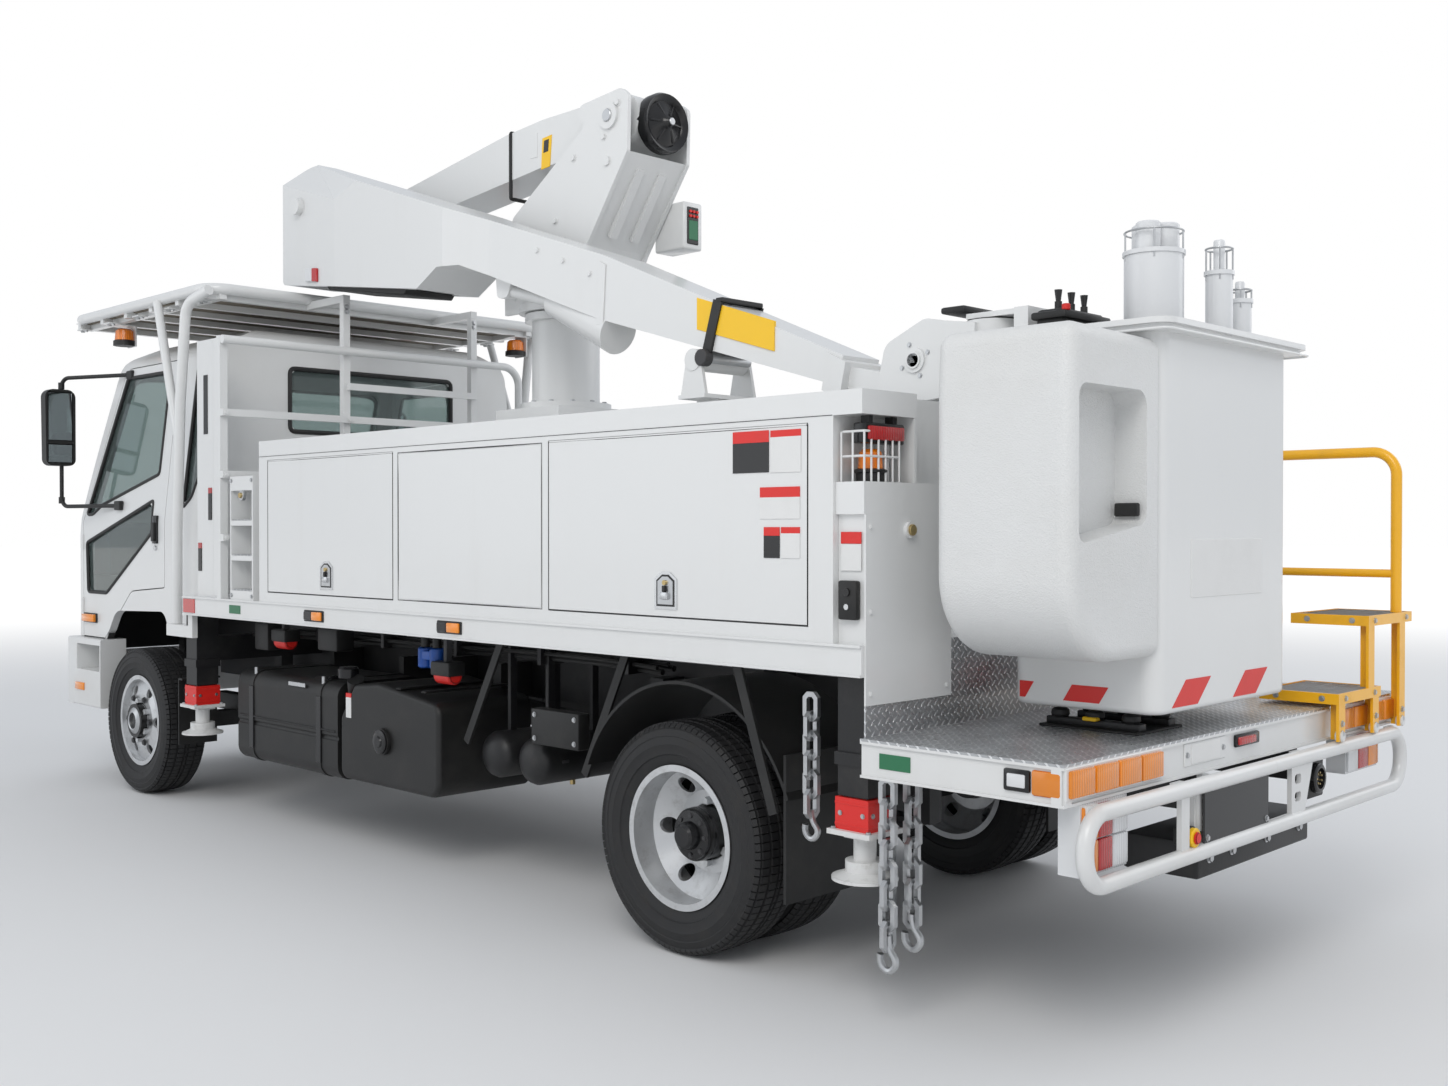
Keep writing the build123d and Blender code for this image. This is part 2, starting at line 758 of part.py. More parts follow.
def fuel_tank():
    """The rectangular fuel tank with rounded edges, two straps and hangers."""
    front = front_axle_y + 1162
    rear = front + 991
    tank = block(560, 1060, front, rear, 330, 794)
    tank = fillet(tank.edges().filter_by(Axis.Y), 70)
    tank -= rod_y(1067, front - 1, rear + 1, 530, 14)
    for y in (front + 130, rear - 190):
        strap = block(556, 1064, y, y + 40, 326, 798)
        strap = fillet(strap.edges().filter_by(Axis.Y), 72)
        tank += strap
        tank += block(frame_half_width + bracket_gap, 600, y, y + 40, 740, 880)
    tank += rod_y(980, rear - 300, rear - 180, 760, 45)
    return tank


def hydraulic_tank():
    """The moulded tank behind the fuel tank, with its filler neck and side boss."""
    front = front_axle_y + 2175
    rear = front + 810
    tank = side_plate([
        (front, 350, 50), (rear, 350, 70), (rear, 760, 60), (front + 330, 820, 60),
        (front + 120, 800, 40), (front, 640, 50),
    ], 560, 1060)
    tank = fillet(tank.faces().sort_by(Axis.X)[-1].outer_wire().edges(), 22)
    tank += rod_x(1050, 1078, front + 380, 560, 60)
    neck = Pos(1010, front + 60, 770) * Rot(-30, 20, 0) * Cylinder(38, 120)
    for y in (front + 150, rear - 230):
        tank += block(frame_half_width + bracket_gap, 600, y, y + 60, 740, 900)
    return tank + neck


def outrigger_sleeves():
    """The four outrigger guide tubes with the beams that carry them."""
    pieces = []
    half = jack_sleeve / 2
    bore = half - jack_wall
    for y in (front_jack_y, rear_jack_y):
        tube = block(jack_x - half, jack_x + half, y - half, y + half, jack_sleeve_bottom_z, tray_bottom_z)
        tube += block(jack_x - half - 8, jack_x + half + 8, y - half - 8, y + half + 8, 790, 830)
        tube -= block(jack_x - bore, jack_x + bore, y - bore, y + bore, jack_sleeve_bottom_z - 10, tray_bottom_z - 20)
        beam = block(frame_half_width + bracket_gap, jack_x - half, y - 50, y + 50, 820, 950)
        pieces += [tube + beam, mirrored(tube + beam)]
    return group(*pieces)


def outrigger_leg(x, y):
    """A jack leg with its warning box, plate, neck and dished foot."""
    half = jack_sleeve / 2 - jack_wall - jack_gap
    leg = block(x - half, x + half, y - half, y + half, 560, tray_bottom_z - 37)
    box = block(x - 66, x + 66, y - 66, y + 66, 588, 689)
    box -= block(x - 20, x + 20, y - 70, y - 62, 660, 690)
    plate = block(x - 85, x + 85, y - 85, y + 85, 573, 589)
    neck = rod_z(x, y, jack_foot_z + 28, 574, 36) + rod_z(x, y, jack_foot_z + 17, jack_foot_z + 60, 62)
    foot = rod_z(x, y, jack_foot_z, jack_foot_z + 10, jack_foot_radius)
    foot += Pos(x, y, jack_foot_z + 17) * Cone(jack_foot_radius - 4, 66, 16)
    return leg + box + plate + neck + foot


def channel_y(x_face, y0, y1, z0, z1):
    """A side rail whose web lies between two lips that stand out."""
    rail = block(x_face - channel_width, x_face, y0, y1, z0, z1)
    return rail - block(x_face - channel_depth, x_face + 1, y0 - 1, y1 + 1, z0 + sheet, z1 - sheet)


def tray_frame():
    """The tray's side rails, floor, cross bearers and the rack's foot brackets."""
    rail = channel_y(body_half_width, tray_front_y, tray_rear_y, tray_bottom_z, tray_top_z)
    inner = body_half_width - channel_width
    floor = block(-inner - 1, inner + 1, tray_front_y, tray_rear_y, tray_top_z - 12, tray_top_z)
    frame = rail + mirrored(rail) + floor
    bearer_count = 7
    pitch = (tray_rear_y - tray_front_y - 400) / (bearer_count - 1)
    for index in range(bearer_count):
        y = tray_front_y + 150 + pitch * index
        frame += block(-inner - 1, inner + 1, y - 30, y + 30, tray_bottom_z, tray_top_z - 11)
    bearer = block(
        frame_half_width - 75, frame_half_width - 5, tray_front_y, tray_rear_y,
        frame_top_z, tray_bottom_z + 1,
    )
    frame += bearer + mirrored(bearer)
    foot = rack_foot()
    return frame + foot + mirrored(foot)


def rack_foot():
    """The left bracket that carries the rack's leg from the tray, round the outrigger's sleeve."""
    inner = rack_leg_x - 42
    outer = rack_leg_x + 42
    side = jack_x + jack_sleeve / 2 + 3
    front = cab_rear_y - 155
    z = rack_leg_foot_z
    foot = block(inner, outer, front, front_jack_y - jack_sleeve / 2 - 9, z - 42, z)
    foot += block(side, outer, front, tray_front_y + 50, z - 62, z)
    return foot + block(side, outer, tray_front_y, tray_front_y + 50, z - 1, tray_bottom_z + 20)


def door_frame_cut(span):
    """The opening behind one locker door, with room for its hinge barrel."""
    y0, y1 = span
    opening = block(
        locker_outer_x - locker_door_thickness - 3, locker_outer_x + 1,
        y0 - locker_door_gap, y1 + locker_door_gap,
        locker_door_bottom_z - locker_door_gap, locker_door_top_z + locker_door_gap,
    )
    return opening + rod_y(locker_hinge_x, y0 - 4, y1 + 4, locker_hinge_z, locker_hinge_radius + 2)


def locker_cavity(span):
    """The space inside one locker."""
    y0, y1 = span
    return block(
        locker_inner_x + locker_wall, locker_outer_x + 1, y0 + 25, y1 - 25,
        locker_door_bottom_z + 25, locker_door_top_z - 25,
    )


def locker_body():
    """The left row of lockers with its top rim, end posts and rear canopy."""
    body = block(locker_inner_x, locker_outer_x, locker_front_y, locker_rear_y, tray_top_z, locker_top_z)
    for span in (front_door_span, rear_door_span):
        body -= door_frame_cut(span)
        body -= locker_cavity(span)
    for y in (middle_panel_span[0], middle_panel_span[1] - 4):
        body -= block(locker_outer_x - 3, locker_outer_x + 1, y, y + 4, locker_door_bottom_z, locker_door_top_z)
    for z in (locker_door_bottom_z, locker_door_top_z - 4):
        body -= block(locker_outer_x - 3, locker_outer_x + 1, *middle_panel_span, z, z + 4)
    body += block(locker_inner_x + 321, locker_outer_x, locker_rear_y - 1, tray_rear_y, canopy_bottom_z, locker_top_z)
    body += block(locker_inner_x + 321, locker_inner_x + 333, locker_rear_y - 1, tray_rear_y - 1,
                  ledge_top_z, canopy_bottom_z + 1)
    return body


def locker_door(span):
    """A locker door with its hinge barrel and the recess of its latch."""
    y0, y1 = span
    door = block(
        locker_outer_x - locker_door_thickness, locker_outer_x, y0, y1, locker_door_bottom_z, locker_door_top_z,
    )
    middle = (y0 + y1) / 2
    low = locker_door_bottom_z + 24
    door -= side_plate([
        (middle - 33, low, 8), (middle + 33, low, 8), (middle + 33, low + 92), (middle, low + 122),
        (middle - 33, low + 92),
    ], locker_outer_x - 14, locker_outer_x + 1)
    return door + rod_y(locker_hinge_x, y0 + 2, y1 - 2, locker_hinge_z, locker_hinge_radius)


def rear_deck():
    """The low rear deck's channels and bearers."""
    front = tray_rear_y + 1
    outer = body_half_width
    top = deck_top_z - sheet
    side = channel_y(outer, front, deck_rear_y, deck_bottom_z, top)
    rear = block(-outer, outer, deck_rear_y - channel_width, deck_rear_y, deck_bottom_z, top)
    rear -= block(-outer - 1, outer + 1, deck_rear_y - channel_depth, deck_rear_y + 1,
                  deck_bottom_z + sheet, top - sheet)
    frame = side + mirrored(side) + rear
    for y in (front + 100, (front + deck_rear_y) / 2, deck_rear_y - 110):
        frame += block(-outer + channel_width - 1, outer - channel_width + 1, y - 30, y + 30, deck_bottom_z + 20, top)
    return frame


def deck_plate():
    """The chequered deck sheet with the riser behind it."""
    front = tray_rear_y + 1
    plate = block(-body_half_width, body_half_width, front, deck_rear_y, deck_top_z - sheet, deck_top_z)
    riser = block(-column_inner_x + 3, column_inner_x - 3, front, front + 6, deck_top_z - 1, tray_top_z)
    kick = block(-body_half_width + 20, body_half_width - 20, front, front + 6, deck_top_z - 1, 984)
    return plate + riser + kick


def rear_column():
    """The white rear columns with their ledges and cover sheets."""
    front = locker_rear_y + 1
    outer = locker_outer_x - 10
    column = block(column_inner_x + 2, outer - 15, front, tray_rear_y, tray_top_z, ledge_bottom_z + 1)
    ledge = block(column_inner_x - 3, outer, front, tray_rear_y, ledge_bottom_z, ledge_top_z)
    ledge -= block(column_inner_x + 5, outer - 8, front + 8, tray_rear_y - 8, ledge_bottom_z + 30, ledge_top_z + 1)
    cover = block(column_inner_x - 3, outer, tray_rear_y + bracket_gap, tray_rear_y + 7, 985, ledge_bottom_z - 1)
    cover += rod_y(992, tray_rear_y + 5, tray_rear_y + 19, 1520, 26)
    return both_sides(column + ledge + block(column_inner_x + 2, outer - 15, front, tray_rear_y + 7, 1300, 1500) + cover)


def pedestal():
    """The pedestal box, flange and column under the slewing ring."""
    base = block(-250, 250, slew_y - 250, slew_y + 250, tray_top_z, pedestal_flange_z - 30)
    flange = rod_z(0, slew_y, pedestal_flange_z - 31, pedestal_flange_z, 228)
    column = rod_z(0, slew_y, pedestal_flange_z - 1, slew_ring_z - 40, pedestal_radius)
    ring = rod_z(0, slew_y, slew_ring_z - 41, slew_ring_z - 3, 205)
    return base + flange + column + ring


def rack_leg():
    """The left rear leg of the rack, bent over the cab's rear corner, with its slanted brace."""
    top = (rack_half_width - 20, rack_rear_y - 10, rack_tube_z - 18)
    foot_y = cab_rear_y - 117
    leg = bent_tube([
        top, (rack_leg_x, rack_rear_y - 193, rack_tube_z - 77), (rack_leg_x, foot_y + 47, 2202),
        (rack_leg_x, foot_y + 4, 1500), (rack_leg_x, foot_y, rack_leg_foot_z + 1),
    ], rack_leg_radius, 110)
    brace = straight_tube(
        (rack_half_width - 4, rack_rear_y - 601, rack_tube_z - 20), (rack_leg_x, foot_y + 26, 2000), rack_leg_radius - 4,
    )
    return leg + brace


def roof_rack():
    """The rack over the cab: tube rim, rails, bearers, deck sheet and legs."""
    inner = rack_half_width - rack_tube_radius
    front = rack_front_y + rack_tube_radius
    rear = rack_rear_y - rack_tube_radius
    wide = rack_half_width
    rack = bent_tube([
        (0, rear, rack_tube_z), (wide - 30, rear, rack_tube_z), (wide - 30, front, rack_tube_z),
        (-wide + 30, front, rack_tube_z), (-wide + 30, rear, rack_tube_z), (-1, rear, rack_tube_z),
    ], rack_tube_radius, 120)
    rack += block(-2, 1, rear - 20, rear + 20, rack_tube_z - 20, rack_tube_z + 20)
    low = rack_tube_z - 55
    for x in (-inner + 60, inner - 100):
        rack += block(x, x + 40, front, rear, low, rack_tube_z - 14)
    for x in (500, -333):
        rack += block(x - 20, x + 20, rear - 30, guard_y - 1 - guard_depth, low, low + 40)
        rack += block(x - 20, x + 20, guard_y - 1 - guard_depth, guard_y - guard_depth / 2 + 20, low, low + 40)
    bearer_count = 6
    pitch = (rear - front - 100) / (bearer_count - 1)
    for index in range(bearer_count):
        y = front + 50 + pitch * index
        rack += block(-inner, inner, y - 20, y + 20, low, low + 38)
    rack += block(-inner, inner, front, rear, low + 37, low + 41)
    leg = rack_leg()
    return rack + leg + mirrored(leg)


def guard_posts():
    """The headboard guard's upright posts and its side wing."""
    back = guard_y - guard_depth
    posts = []
    for x, top in ((body_half_width - 23, guard_top_z), (500, rack_tube_z - 56), (-333, rack_tube_z - 56)):
        posts.append(block(x - 20, x + 20, back, guard_y, tray_top_z, top))
    wing_x = body_half_width - 75
    wing = block(wing_x - 10, wing_x, tray_front_y + 27, tray_front_y + 210, tray_top_z, guard_top_z + 10)
    rear_wing = block(wing_x - 40, wing_x, tray_front_y + 211, tray_front_y + 251, tray_top_z, guard_top_z + 10)
    return group(*posts, wing, rear_wing)


def guard_bars():
    """The headboard guard's level bars and the step box beside it."""
    bars = []
    left_x = body_half_width - 3
    end_x = -637
    for z in (1480, 1800, 2114):
        bars.append(block(end_x + guard_tube_radius + 1, left_x, guard_y + 0.5, guard_y + 30.5, z - 18, z + 18))
    bars.append(block(-333, 500, guard_y + 0.5, guard_y + 30.5, 2275, 2311))
    top = bent_tube([
        (left_x, guard_y + 23, guard_top_z - guard_tube_radius),
        (end_x, guard_y + 23, guard_top_z - guard_tube_radius), (end_x, guard_y + 23, tray_top_z),
    ], guard_tube_radius, 110)
    box_y = (guard_y + 60, locker_front_y - 92)
    box = block(body_half_width - 325, body_half_width - 25, *box_y, tray_top_z, 1786)
    for low in (1215, 1390, 1565):
        box -= block(body_half_width - 130, body_half_width, box_y[0] + 12, box_y[1] - 12, low, low + 150)
    return group(*bars, top, box)


def step_frame(x0, x1, y0, y1, z1):
    """A step tray: a folded rim round a grip plate."""
    frame = block(x0, x1, y0, y1, z1 - step_frame_height, z1)
    wall = step_frame_wall
    frame -= block(x0 + wall, x1 - wall, y0 + wall, y1 - wall, z1 - 10, z1 + 1)
    return frame - block(x0 + wall, x1 - wall, y0 + wall, y1 - wall, z1 - step_frame_height - 1, z1 - 18)


def rear_steps():
    """The yellow steps with their legs, grab rail and mid rail along the truck's right edge."""
    back = rear_face_y - 2
    front = deck_rear_y - 237
    frame = step_frame(step_right_x, step_left_x, front, back, step_z)
    frame += step_frame(low_step_right_x, low_step_left_x, front, back, low_step_z)
    foot_z = bumper_high_z + bumper_tube_radius + 2
    for x, bottom, top in (
        (low_step_left_x - 28, foot_z, low_step_z - 20), (low_step_right_x + 48, foot_z, low_step_z - 20),
        (step_left_x - 28, low_step_z - 20, step_z - 20), (step_rail_x, foot_z, step_z - 20),
    ):
        frame += block(x - 28, x + 28, back - 10, back, bottom, top)
        frame += block(x - 28, x - 20, back - 48, back, bottom, top)
    rail_y = back - 24
    rail = bent_tube([
        (step_rail_x, rail_y, step_z - 30), (step_rail_x, rail_y, grab_rail_z),
        (step_rail_x, grab_rail_front_y, grab_rail_z), (step_rail_x, grab_rail_front_y, deck_top_z + 1),
    ], 20, 90)
    rail += straight_tube((step_rail_x, rail_y, mid_rail_z), (step_rail_x, grab_rail_front_y, mid_rail_z), 16)
    return frame + rail


def rear_bumper():
    """The white tube bumper: a closed loop with its posts, gusset and centre panel."""
    y = bumper_y
    wide = bumper_half_width
    loop = bent_tube([
        (0, y, bumper_high_z), (wide, y, bumper_high_z), (wide, y, bumper_low_z), (-wide, y, bumper_low_z),
        (-wide, y, bumper_high_z), (-1, y, bumper_high_z),
    ], bumper_tube_radius, 95)
    loop += block(-2, 1, y - 18, y + 18, bumper_high_z - 18, bumper_high_z + 18)
    low = bumper_low_z
    high = bumper_high_z
    loop += block(579, 629, y - 8, y + 8, low, high)
    gusset = front_plate([(-250, low), (-150, low), (-150, high), (-330, high)], y - 8, y + 8)
    for z in (low + 60, low + 120):
        gusset -= front_plate([(-225, z, 12), (-175, z, 12), (-175, z + 32, 12), (-225, z + 32, 12)], y - 9, y + 9)
    panel = block(21, 496, y - 42, y - 18, low + 10, high - 5)
    ties = [block(x - 30, x + 30, deck_rear_y, y - 12, high - 18, high + 22) for x in (604, -240, 1100, -1100)]
    arms = [block(x - 20, x + 20, y - 20, y - 5, low + 60, high) for x in (470, 40)]
    for piece in (gusset, panel, *ties, *arms):
        loop += piece
    return loop


def boom_bottom_z(y):
    """The height of the upper boom's underside along its rear tube."""
    return 2431 - (y - 909) * (2431 - 2050) / (tip_pivot[0] - 360 - 909)


def boom_rest():
    """The roller rest that the stowed boom lies over."""
    y = tip_pivot[0] - 1075
    roller_z = boom_bottom_z(y) - 48 - 6
    rest = rod_x(boom_centre_x - 140, boom_centre_x + 145, y, roller_z, 44)
    for x in (boom_centre_x - 155, boom_centre_x + 125):
        rest += side_plate([
            (y - 70, roller_z - 140), (y + 70, roller_z - 140), (y + 35, roller_z + 30, 20), (y - 35, roller_z + 30, 20),
        ], x, x + 15)
    rest += block(boom_centre_x - 160, boom_centre_x + 150, y - 75, y + 75, roller_z - 155, roller_z - 139)
    return rest + block(boom_centre_x - 60, boom_centre_x + 60, y - 60, y + 60, tray_top_z, roller_z - 150)


def turntable_head():
    """The slewing head: two tall side plates, a slanted rear cover and the arm's pin."""
    y, z = arm_pivot
    low = slew_ring_z + 2
    outline = [
        (slew_y - 240, low), (slew_y - 244, 2900, 60), (y - 740, 3085, 60), (y - 170, 3440, 30),
        (y - 288, 3535, 40), (y + 82, z + 115, 60), (y + 131, z + 77, 40), (y + 124, z - 183, 20),
        (y - 170, 2867), (slew_y + 240, low),
    ]
    plate = side_plate(outline, head_half_width - plate_thickness, head_half_width)
    boss = rod_x(head_half_width - 1, head_half_width + 14, y, z, 62)
    boss += rod_x(head_half_width - 1, head_half_width + 10, y - 17, z - 208, 22)
    head = plate + boss
    head += mirrored(head)
    head += Pos(0, slew_y, slew_ring_z + 22) * Cylinder(235, 40)
    inner = head_half_width - plate_thickness + 1
    cover = [
        (slew_y + 225, low + 20), (y - 178, 2880), (y + 116, z - 180), (y + 100, z - 176),
        (y - 200, 2885), (slew_y + 210, low + 20),
    ]
    head += side_plate(cover, -inner, inner)
    rib = [(y - 130, 2920), (y + 70, z - 240), (y + 62, z - 236), (y - 140, 2928)]
    lifted = [(point[0] + 9, point[1] - 6) for point in rib]
    for x in (-70, 70):
        head += side_plate([rib[3], rib[2], lifted[1], lifted[0]], x - 22, x + 22)
    return head + rod_x(-head_half_width - 12, head_half_width + 12, y, z, pin_radius)


def lower_boom():
    """The lower arm, deeper at the head than at the elbow, with rounded ends."""
    y0, z0 = arm_pivot
    y1, z1 = elbow_pivot
    reach = 60
    arm = side_plate([
        (y1 - 60, z1 + elbow_end_radius), (y1 + 240, z1 + 128, 200), (y0 - 900, z0 + 97, 300),
        (y0 - 600, z0 + arm_end_radius, 300), (y0, z0 + arm_end_radius),
        (y0, z0 - arm_end_radius), (y0 - 600, z0 - arm_end_radius, 300),
        (y1, z1 - elbow_end_radius), (y1 - reach, z1 - elbow_end_radius + 4),
    ], -arm_half_width, arm_half_width)
    arm += rod_x(-arm_half_width, arm_half_width, y0, z0, arm_end_radius)
    arm += rod_x(-arm_half_width, arm_half_width, y1 - 20, z1, elbow_end_radius)
    for x in (-arm_half_width - 2, arm_half_width - 4):
        arm += side_plate([(y0 - 700, z0 - 60), (y0 - 640, z0 - 60), (y0 - 640, z0 + 60), (y0 - 700, z0 + 60)], x, x + 6)
    arm -= rod_x(-2 * arm_half_width, 2 * arm_half_width, y0, z0, pin_radius + pin_clearance)
    arm -= rod_x(-2 * arm_half_width, 2 * arm_half_width, y1, z1, pin_radius + pin_clearance)
    return arm


def elbow():
    """The elbow shaft and flange that carry the upper boom beside the arm."""
    y, z = elbow_pivot
    right = boom_centre_x - boom_box_half_width
    shaft = rod_x(-arm_half_width - 20, boom_centre_x + boom_box_half_width + 14, y, z, pin_radius)
    return shaft + rod_x(arm_half_width + flange_gap, right - flange_gap, y, z, 105)


def wedge(*corners):
    """A solid with four flat faces between four corners."""
    faces = []
    for skipped in range(4):
        triangle = [corner for index, corner in enumerate(corners) if index != skipped]
        faces.append(Face(Wire.make_polygon(triangle, close=True)))
    return Solid(Shell(faces))


def boom_points():
    """The upper boom's side outline of (y, z) points."""
    nose = elbow_pivot[0] - 210
    tail = tip_pivot[0] - 324
    return [
        (nose, 2889, 30), (nose, 3603, 40), (949, 2700), (tail, 2157), (tail - 36, 2050), (909, 2431),
        (nose + 1705, 2780), (nose + 1549, 2787), (nose + 1379, 2702),
    ]


def boom_plan_points():
    """The upper boom seen from above: deep box, then a tapering tube."""
    nose = elbow_pivot[0] - 210
    wide = boom_box_half_width
    left = [
        (wide - 33, nose), (wide, nose + 607), (wide, nose + 1600), (boom_tube_half_width, nose + 1900),
        (boom_tube_half_width - 20, tip_pivot[0] - 320),
    ]
    right = [(-x, y) for x, y in reversed(left)]
    return [(boom_centre_x + x, y) for x, y in left + right]


def nose_chamfer(side):
    """The two facets that cut one upper corner off the boom's nose."""
    nose = elbow_pivot[0] - 210

    def corner(out, back, z):
        return (boom_centre_x + side * out, nose + back, z)

    low_front = corner(152, 0, 3446)
    low_rear = corner(boom_box_half_width, 607, 3266)
    high_rear = corner(boom_box_half_width, 922, 3359)
    high_front = corner(-54, 0, 3603)
    outside = corner(445, -145, 3900)
    return [wedge(low_front, low_rear, high_front, outside), wedge(low_rear, high_rear, high_front, outside)]


def upper_boom():
    """The upper boom: faceted nose over the cab, tapered tube, collar and tip lug."""
    side = side_plate(boom_points(), boom_centre_x - 300, boom_centre_x + 300)
    boom = side & plan_plate(boom_plan_points(), 1900, 3700)
    nose = elbow_pivot[0] - 210
    for facet in nose_chamfer(1):
        boom -= facet
    wall = 16
    inner = boom_box_half_width - wall - 40
    boom -= block(boom_centre_x - inner, boom_centre_x + inner, nose + 60, nose + 1330, 2600, 3120)
    y, z = tip_pivot
    half = boom_tube_half_width - 8
    collar = [(y - 419, 2035), (y - 333, 2003), (y - 305, 2131), (y - 391, 2172)]
    boom += side_plate(collar, boom_centre_x - half, boom_centre_x + half)
    neck = [
        (y - 330, 2120), (y - 330, 2040), (y - 155, 1985, 20), (y + 40, z - 55, 30),
        (y + 45, z + 40, 30), (y - 60, z + 45, 20), (y - 155, 2083),
    ]
    boom += side_plate(neck, boom_centre_x - neck_half_width, boom_centre_x + neck_half_width)
    boom -= rod_x(0, 2 * boom_centre_x, y, z, tip_pin_radius + pin_clearance)
    boom += under_housing()
    ye, ze = elbow_pivot
    return boom - rod_x(0, 2 * boom_centre_x, ye, ze, pin_radius + pin_clearance)


def under_housing():
    """The tapered round housing slung under the boom, with its eye lug."""
    start = Vector(boom_centre_x + 30, 512, 2552)
    end = Vector(boom_centre_x + 30, 947, 2375)
    run = end - start
    middle = start + run * 0.5
    lean = math.degrees(math.atan2(run.Y, run.Z))
    cone = Pos(middle.X, middle.Y, middle.Z) * Rot(-lean, 0, 0) * Cone(62, 98, run.length)
    rod = straight_tube((start.X, 190, 2640), (start.X, 560, 2540), 26)
    lug = side_plate([(110, 2740), (240, 2700), (200, 2610, 30), (120, 2610, 30)], start.X - 35, start.X + 35)
    return cone + rod + lug


def tip_bracket():
    """The levelled bracket at the boom tip with the rotator housing."""
    y, z = tip_pivot
    cheek = [
        (y - 177, z - 128, 20), (y - 132, z + 65, 60), (y + 43, z + 143, 70), (y + 127, z + 126, 20),
        (rotator_y, z + 108), (rotator_y, rotator_bottom_z + 10), (y + 60, rotator_bottom_z - 10, 20),
    ]
    near = neck_half_width + cheek_gap
    far = near + cheek_thickness
    left = side_plate(cheek, boom_centre_x + near, boom_centre_x + far)
    right = side_plate(cheek, boom_centre_x - far, boom_centre_x - near)
    pin = rod_x(boom_centre_x - far - 14, boom_centre_x + far + 14, y, z, tip_pin_radius)
    boss = rod_x(boom_centre_x + far - 1, boom_centre_x + far + 8, y, z, 44)
    housing = rod_z(boom_centre_x, rotator_y, rotator_bottom_z, rotator_top_z, rotator_radius)
    web = block(boom_centre_x - far, boom_centre_x + far, y + 110, rotator_y - 20, rotator_bottom_z + 20, z + 112)
    bracket = left + right + pin + boss + housing + web
    bore = rotator_shaft_radius + pin_clearance
    return bracket - rod_z(boom_centre_x, rotator_y, rotator_bottom_z - 5, rotator_top_z + 5, bore)


def basket():
    """The basket with its flared lip and the bracket on the rotator shaft."""
    middle_x = (basket_left_x + basket_right_x) / 2
    middle_y = (basket_front_y + basket_rear_y) / 2
    width = basket_left_x - basket_right_x
    length = basket_rear_y - basket_front_y
    place = Pos(middle_x, middle_y, basket_floor_z)
    outer = extrude(place * RectangleRounded(width, length, basket_corner_radius), basket_top_z - basket_floor_z)
    outer = fillet(outer.faces().sort_by(Axis.Z)[0].outer_wire().edges(), 18)
    lip = RectangleRounded(width + 2 * lip_width, length + 2 * lip_width, basket_corner_radius)
    outer += extrude(Pos(middle_x, middle_y, basket_top_z - lip_depth / 2) * lip, lip_depth / 2)
    under = RectangleRounded(width + 2 * lip_width - 30, length + 2 * lip_width - 30, basket_corner_radius - 10)
    outer += extrude(Pos(middle_x, middle_y, basket_top_z - lip_depth) * under, lip_depth / 2)
    room = RectangleRounded(width - 2 * basket_wall, length - 2 * basket_wall, basket_corner_radius - basket_wall)
    outer -= extrude(Pos(middle_x, middle_y, basket_floor_z + 20) * room, basket_top_z)
    x = boom_centre_x
    y = rotator_y
    low_arm = rotator_bottom_z - arm_clearance
    high_arm = rotator_top_z + arm_clearance
    shaft = rod_z(x, y, low_arm - 18, high_arm + 20, rotator_shaft_radius)
    lower_arm = block(x - 70, x + 70, y - 60, basket_front_y + 1, low_arm - 18, low_arm)
    upper_arm = block(x - 70, x + 70, y - 60, basket_front_y - lip_width + 1, high_arm, high_arm + 18)
    plate = block(x - 90, x + 90, basket_front_y - lip_width, basket_front_y + 1, 1700, high_arm + 18)
    return outer + shaft + lower_arm + upper_arm + plate


def basket_cover():
    """The moulded cover on the basket's left with its holster scoop."""
    rear = basket_rear_y - 6
    front = basket_front_y + 48
    inner = basket_left_x + 1
    outline = [
        (inner, cover_top_z - 10), (cover_outer_x - 10, cover_top_z, 50), (cover_outer_x, cover_top_z - 150, 60),
        (cover_outer_x, cover_bottom_z, cover_corner_radius), (inner, cover_bottom_z),
    ]
    cover = front_plate(outline, front, rear)
    rims = cover.faces().sort_by(Axis.Y)
    edges = [
        edge for face in (rims[0], rims[-1]) for edge in face.outer_wire().edges()
        if edge.center().X > inner + 2
    ]
    cover = fillet(edges, cover_edge_radius)
    scoop = front_plate([
        (cover_outer_x - 420, 1540, 40), (cover_outer_x - 40, 1480, 30), (cover_outer_x - 40, 1930, 40),
        (cover_outer_x - 420, 1930, 50),
    ], rear - 105, rear + 1)
    return cover - scoop


def tool_canisters():
    """Three round tool holders standing in the basket, each with a rim."""
    pieces = []
    y = basket_rear_y - basket_wall
    for x, offset_y, radius, top in ((255, 212, 95, 2430), (30, 95, 44, 2380), (-115, 90, 38, 2302)):
        can = rod_z(x, y - offset_y, basket_floor_z + 21, top, radius)
        can += rod_z(x, y - offset_y, top - 14, top, radius + 5)
        pieces.append(can - rod_z(x, y - offset_y, basket_floor_z + 40, top + 1, radius - 5))
    return group(*pieces)


def knuckle():
    """The left steering knuckle on its kingpin."""
    near = (front_axle_y - 38, front_axle_y + 38)
    fork = block(770, 880, *near, tyre_radius + 80, tyre_radius + 110)
    fork += block(770, 880, *near, tyre_radius - 110, tyre_radius - 80)
    fork += block(835, 880, *near, tyre_radius - 110, tyre_radius + 110)
    fork += rod_z(kingpin_x, front_axle_y, tyre_radius - 105, tyre_radius + 105, kingpin_radius)
    return fork + rod_x(870, 1040, front_axle_y, tyre_radius, spindle_radius)


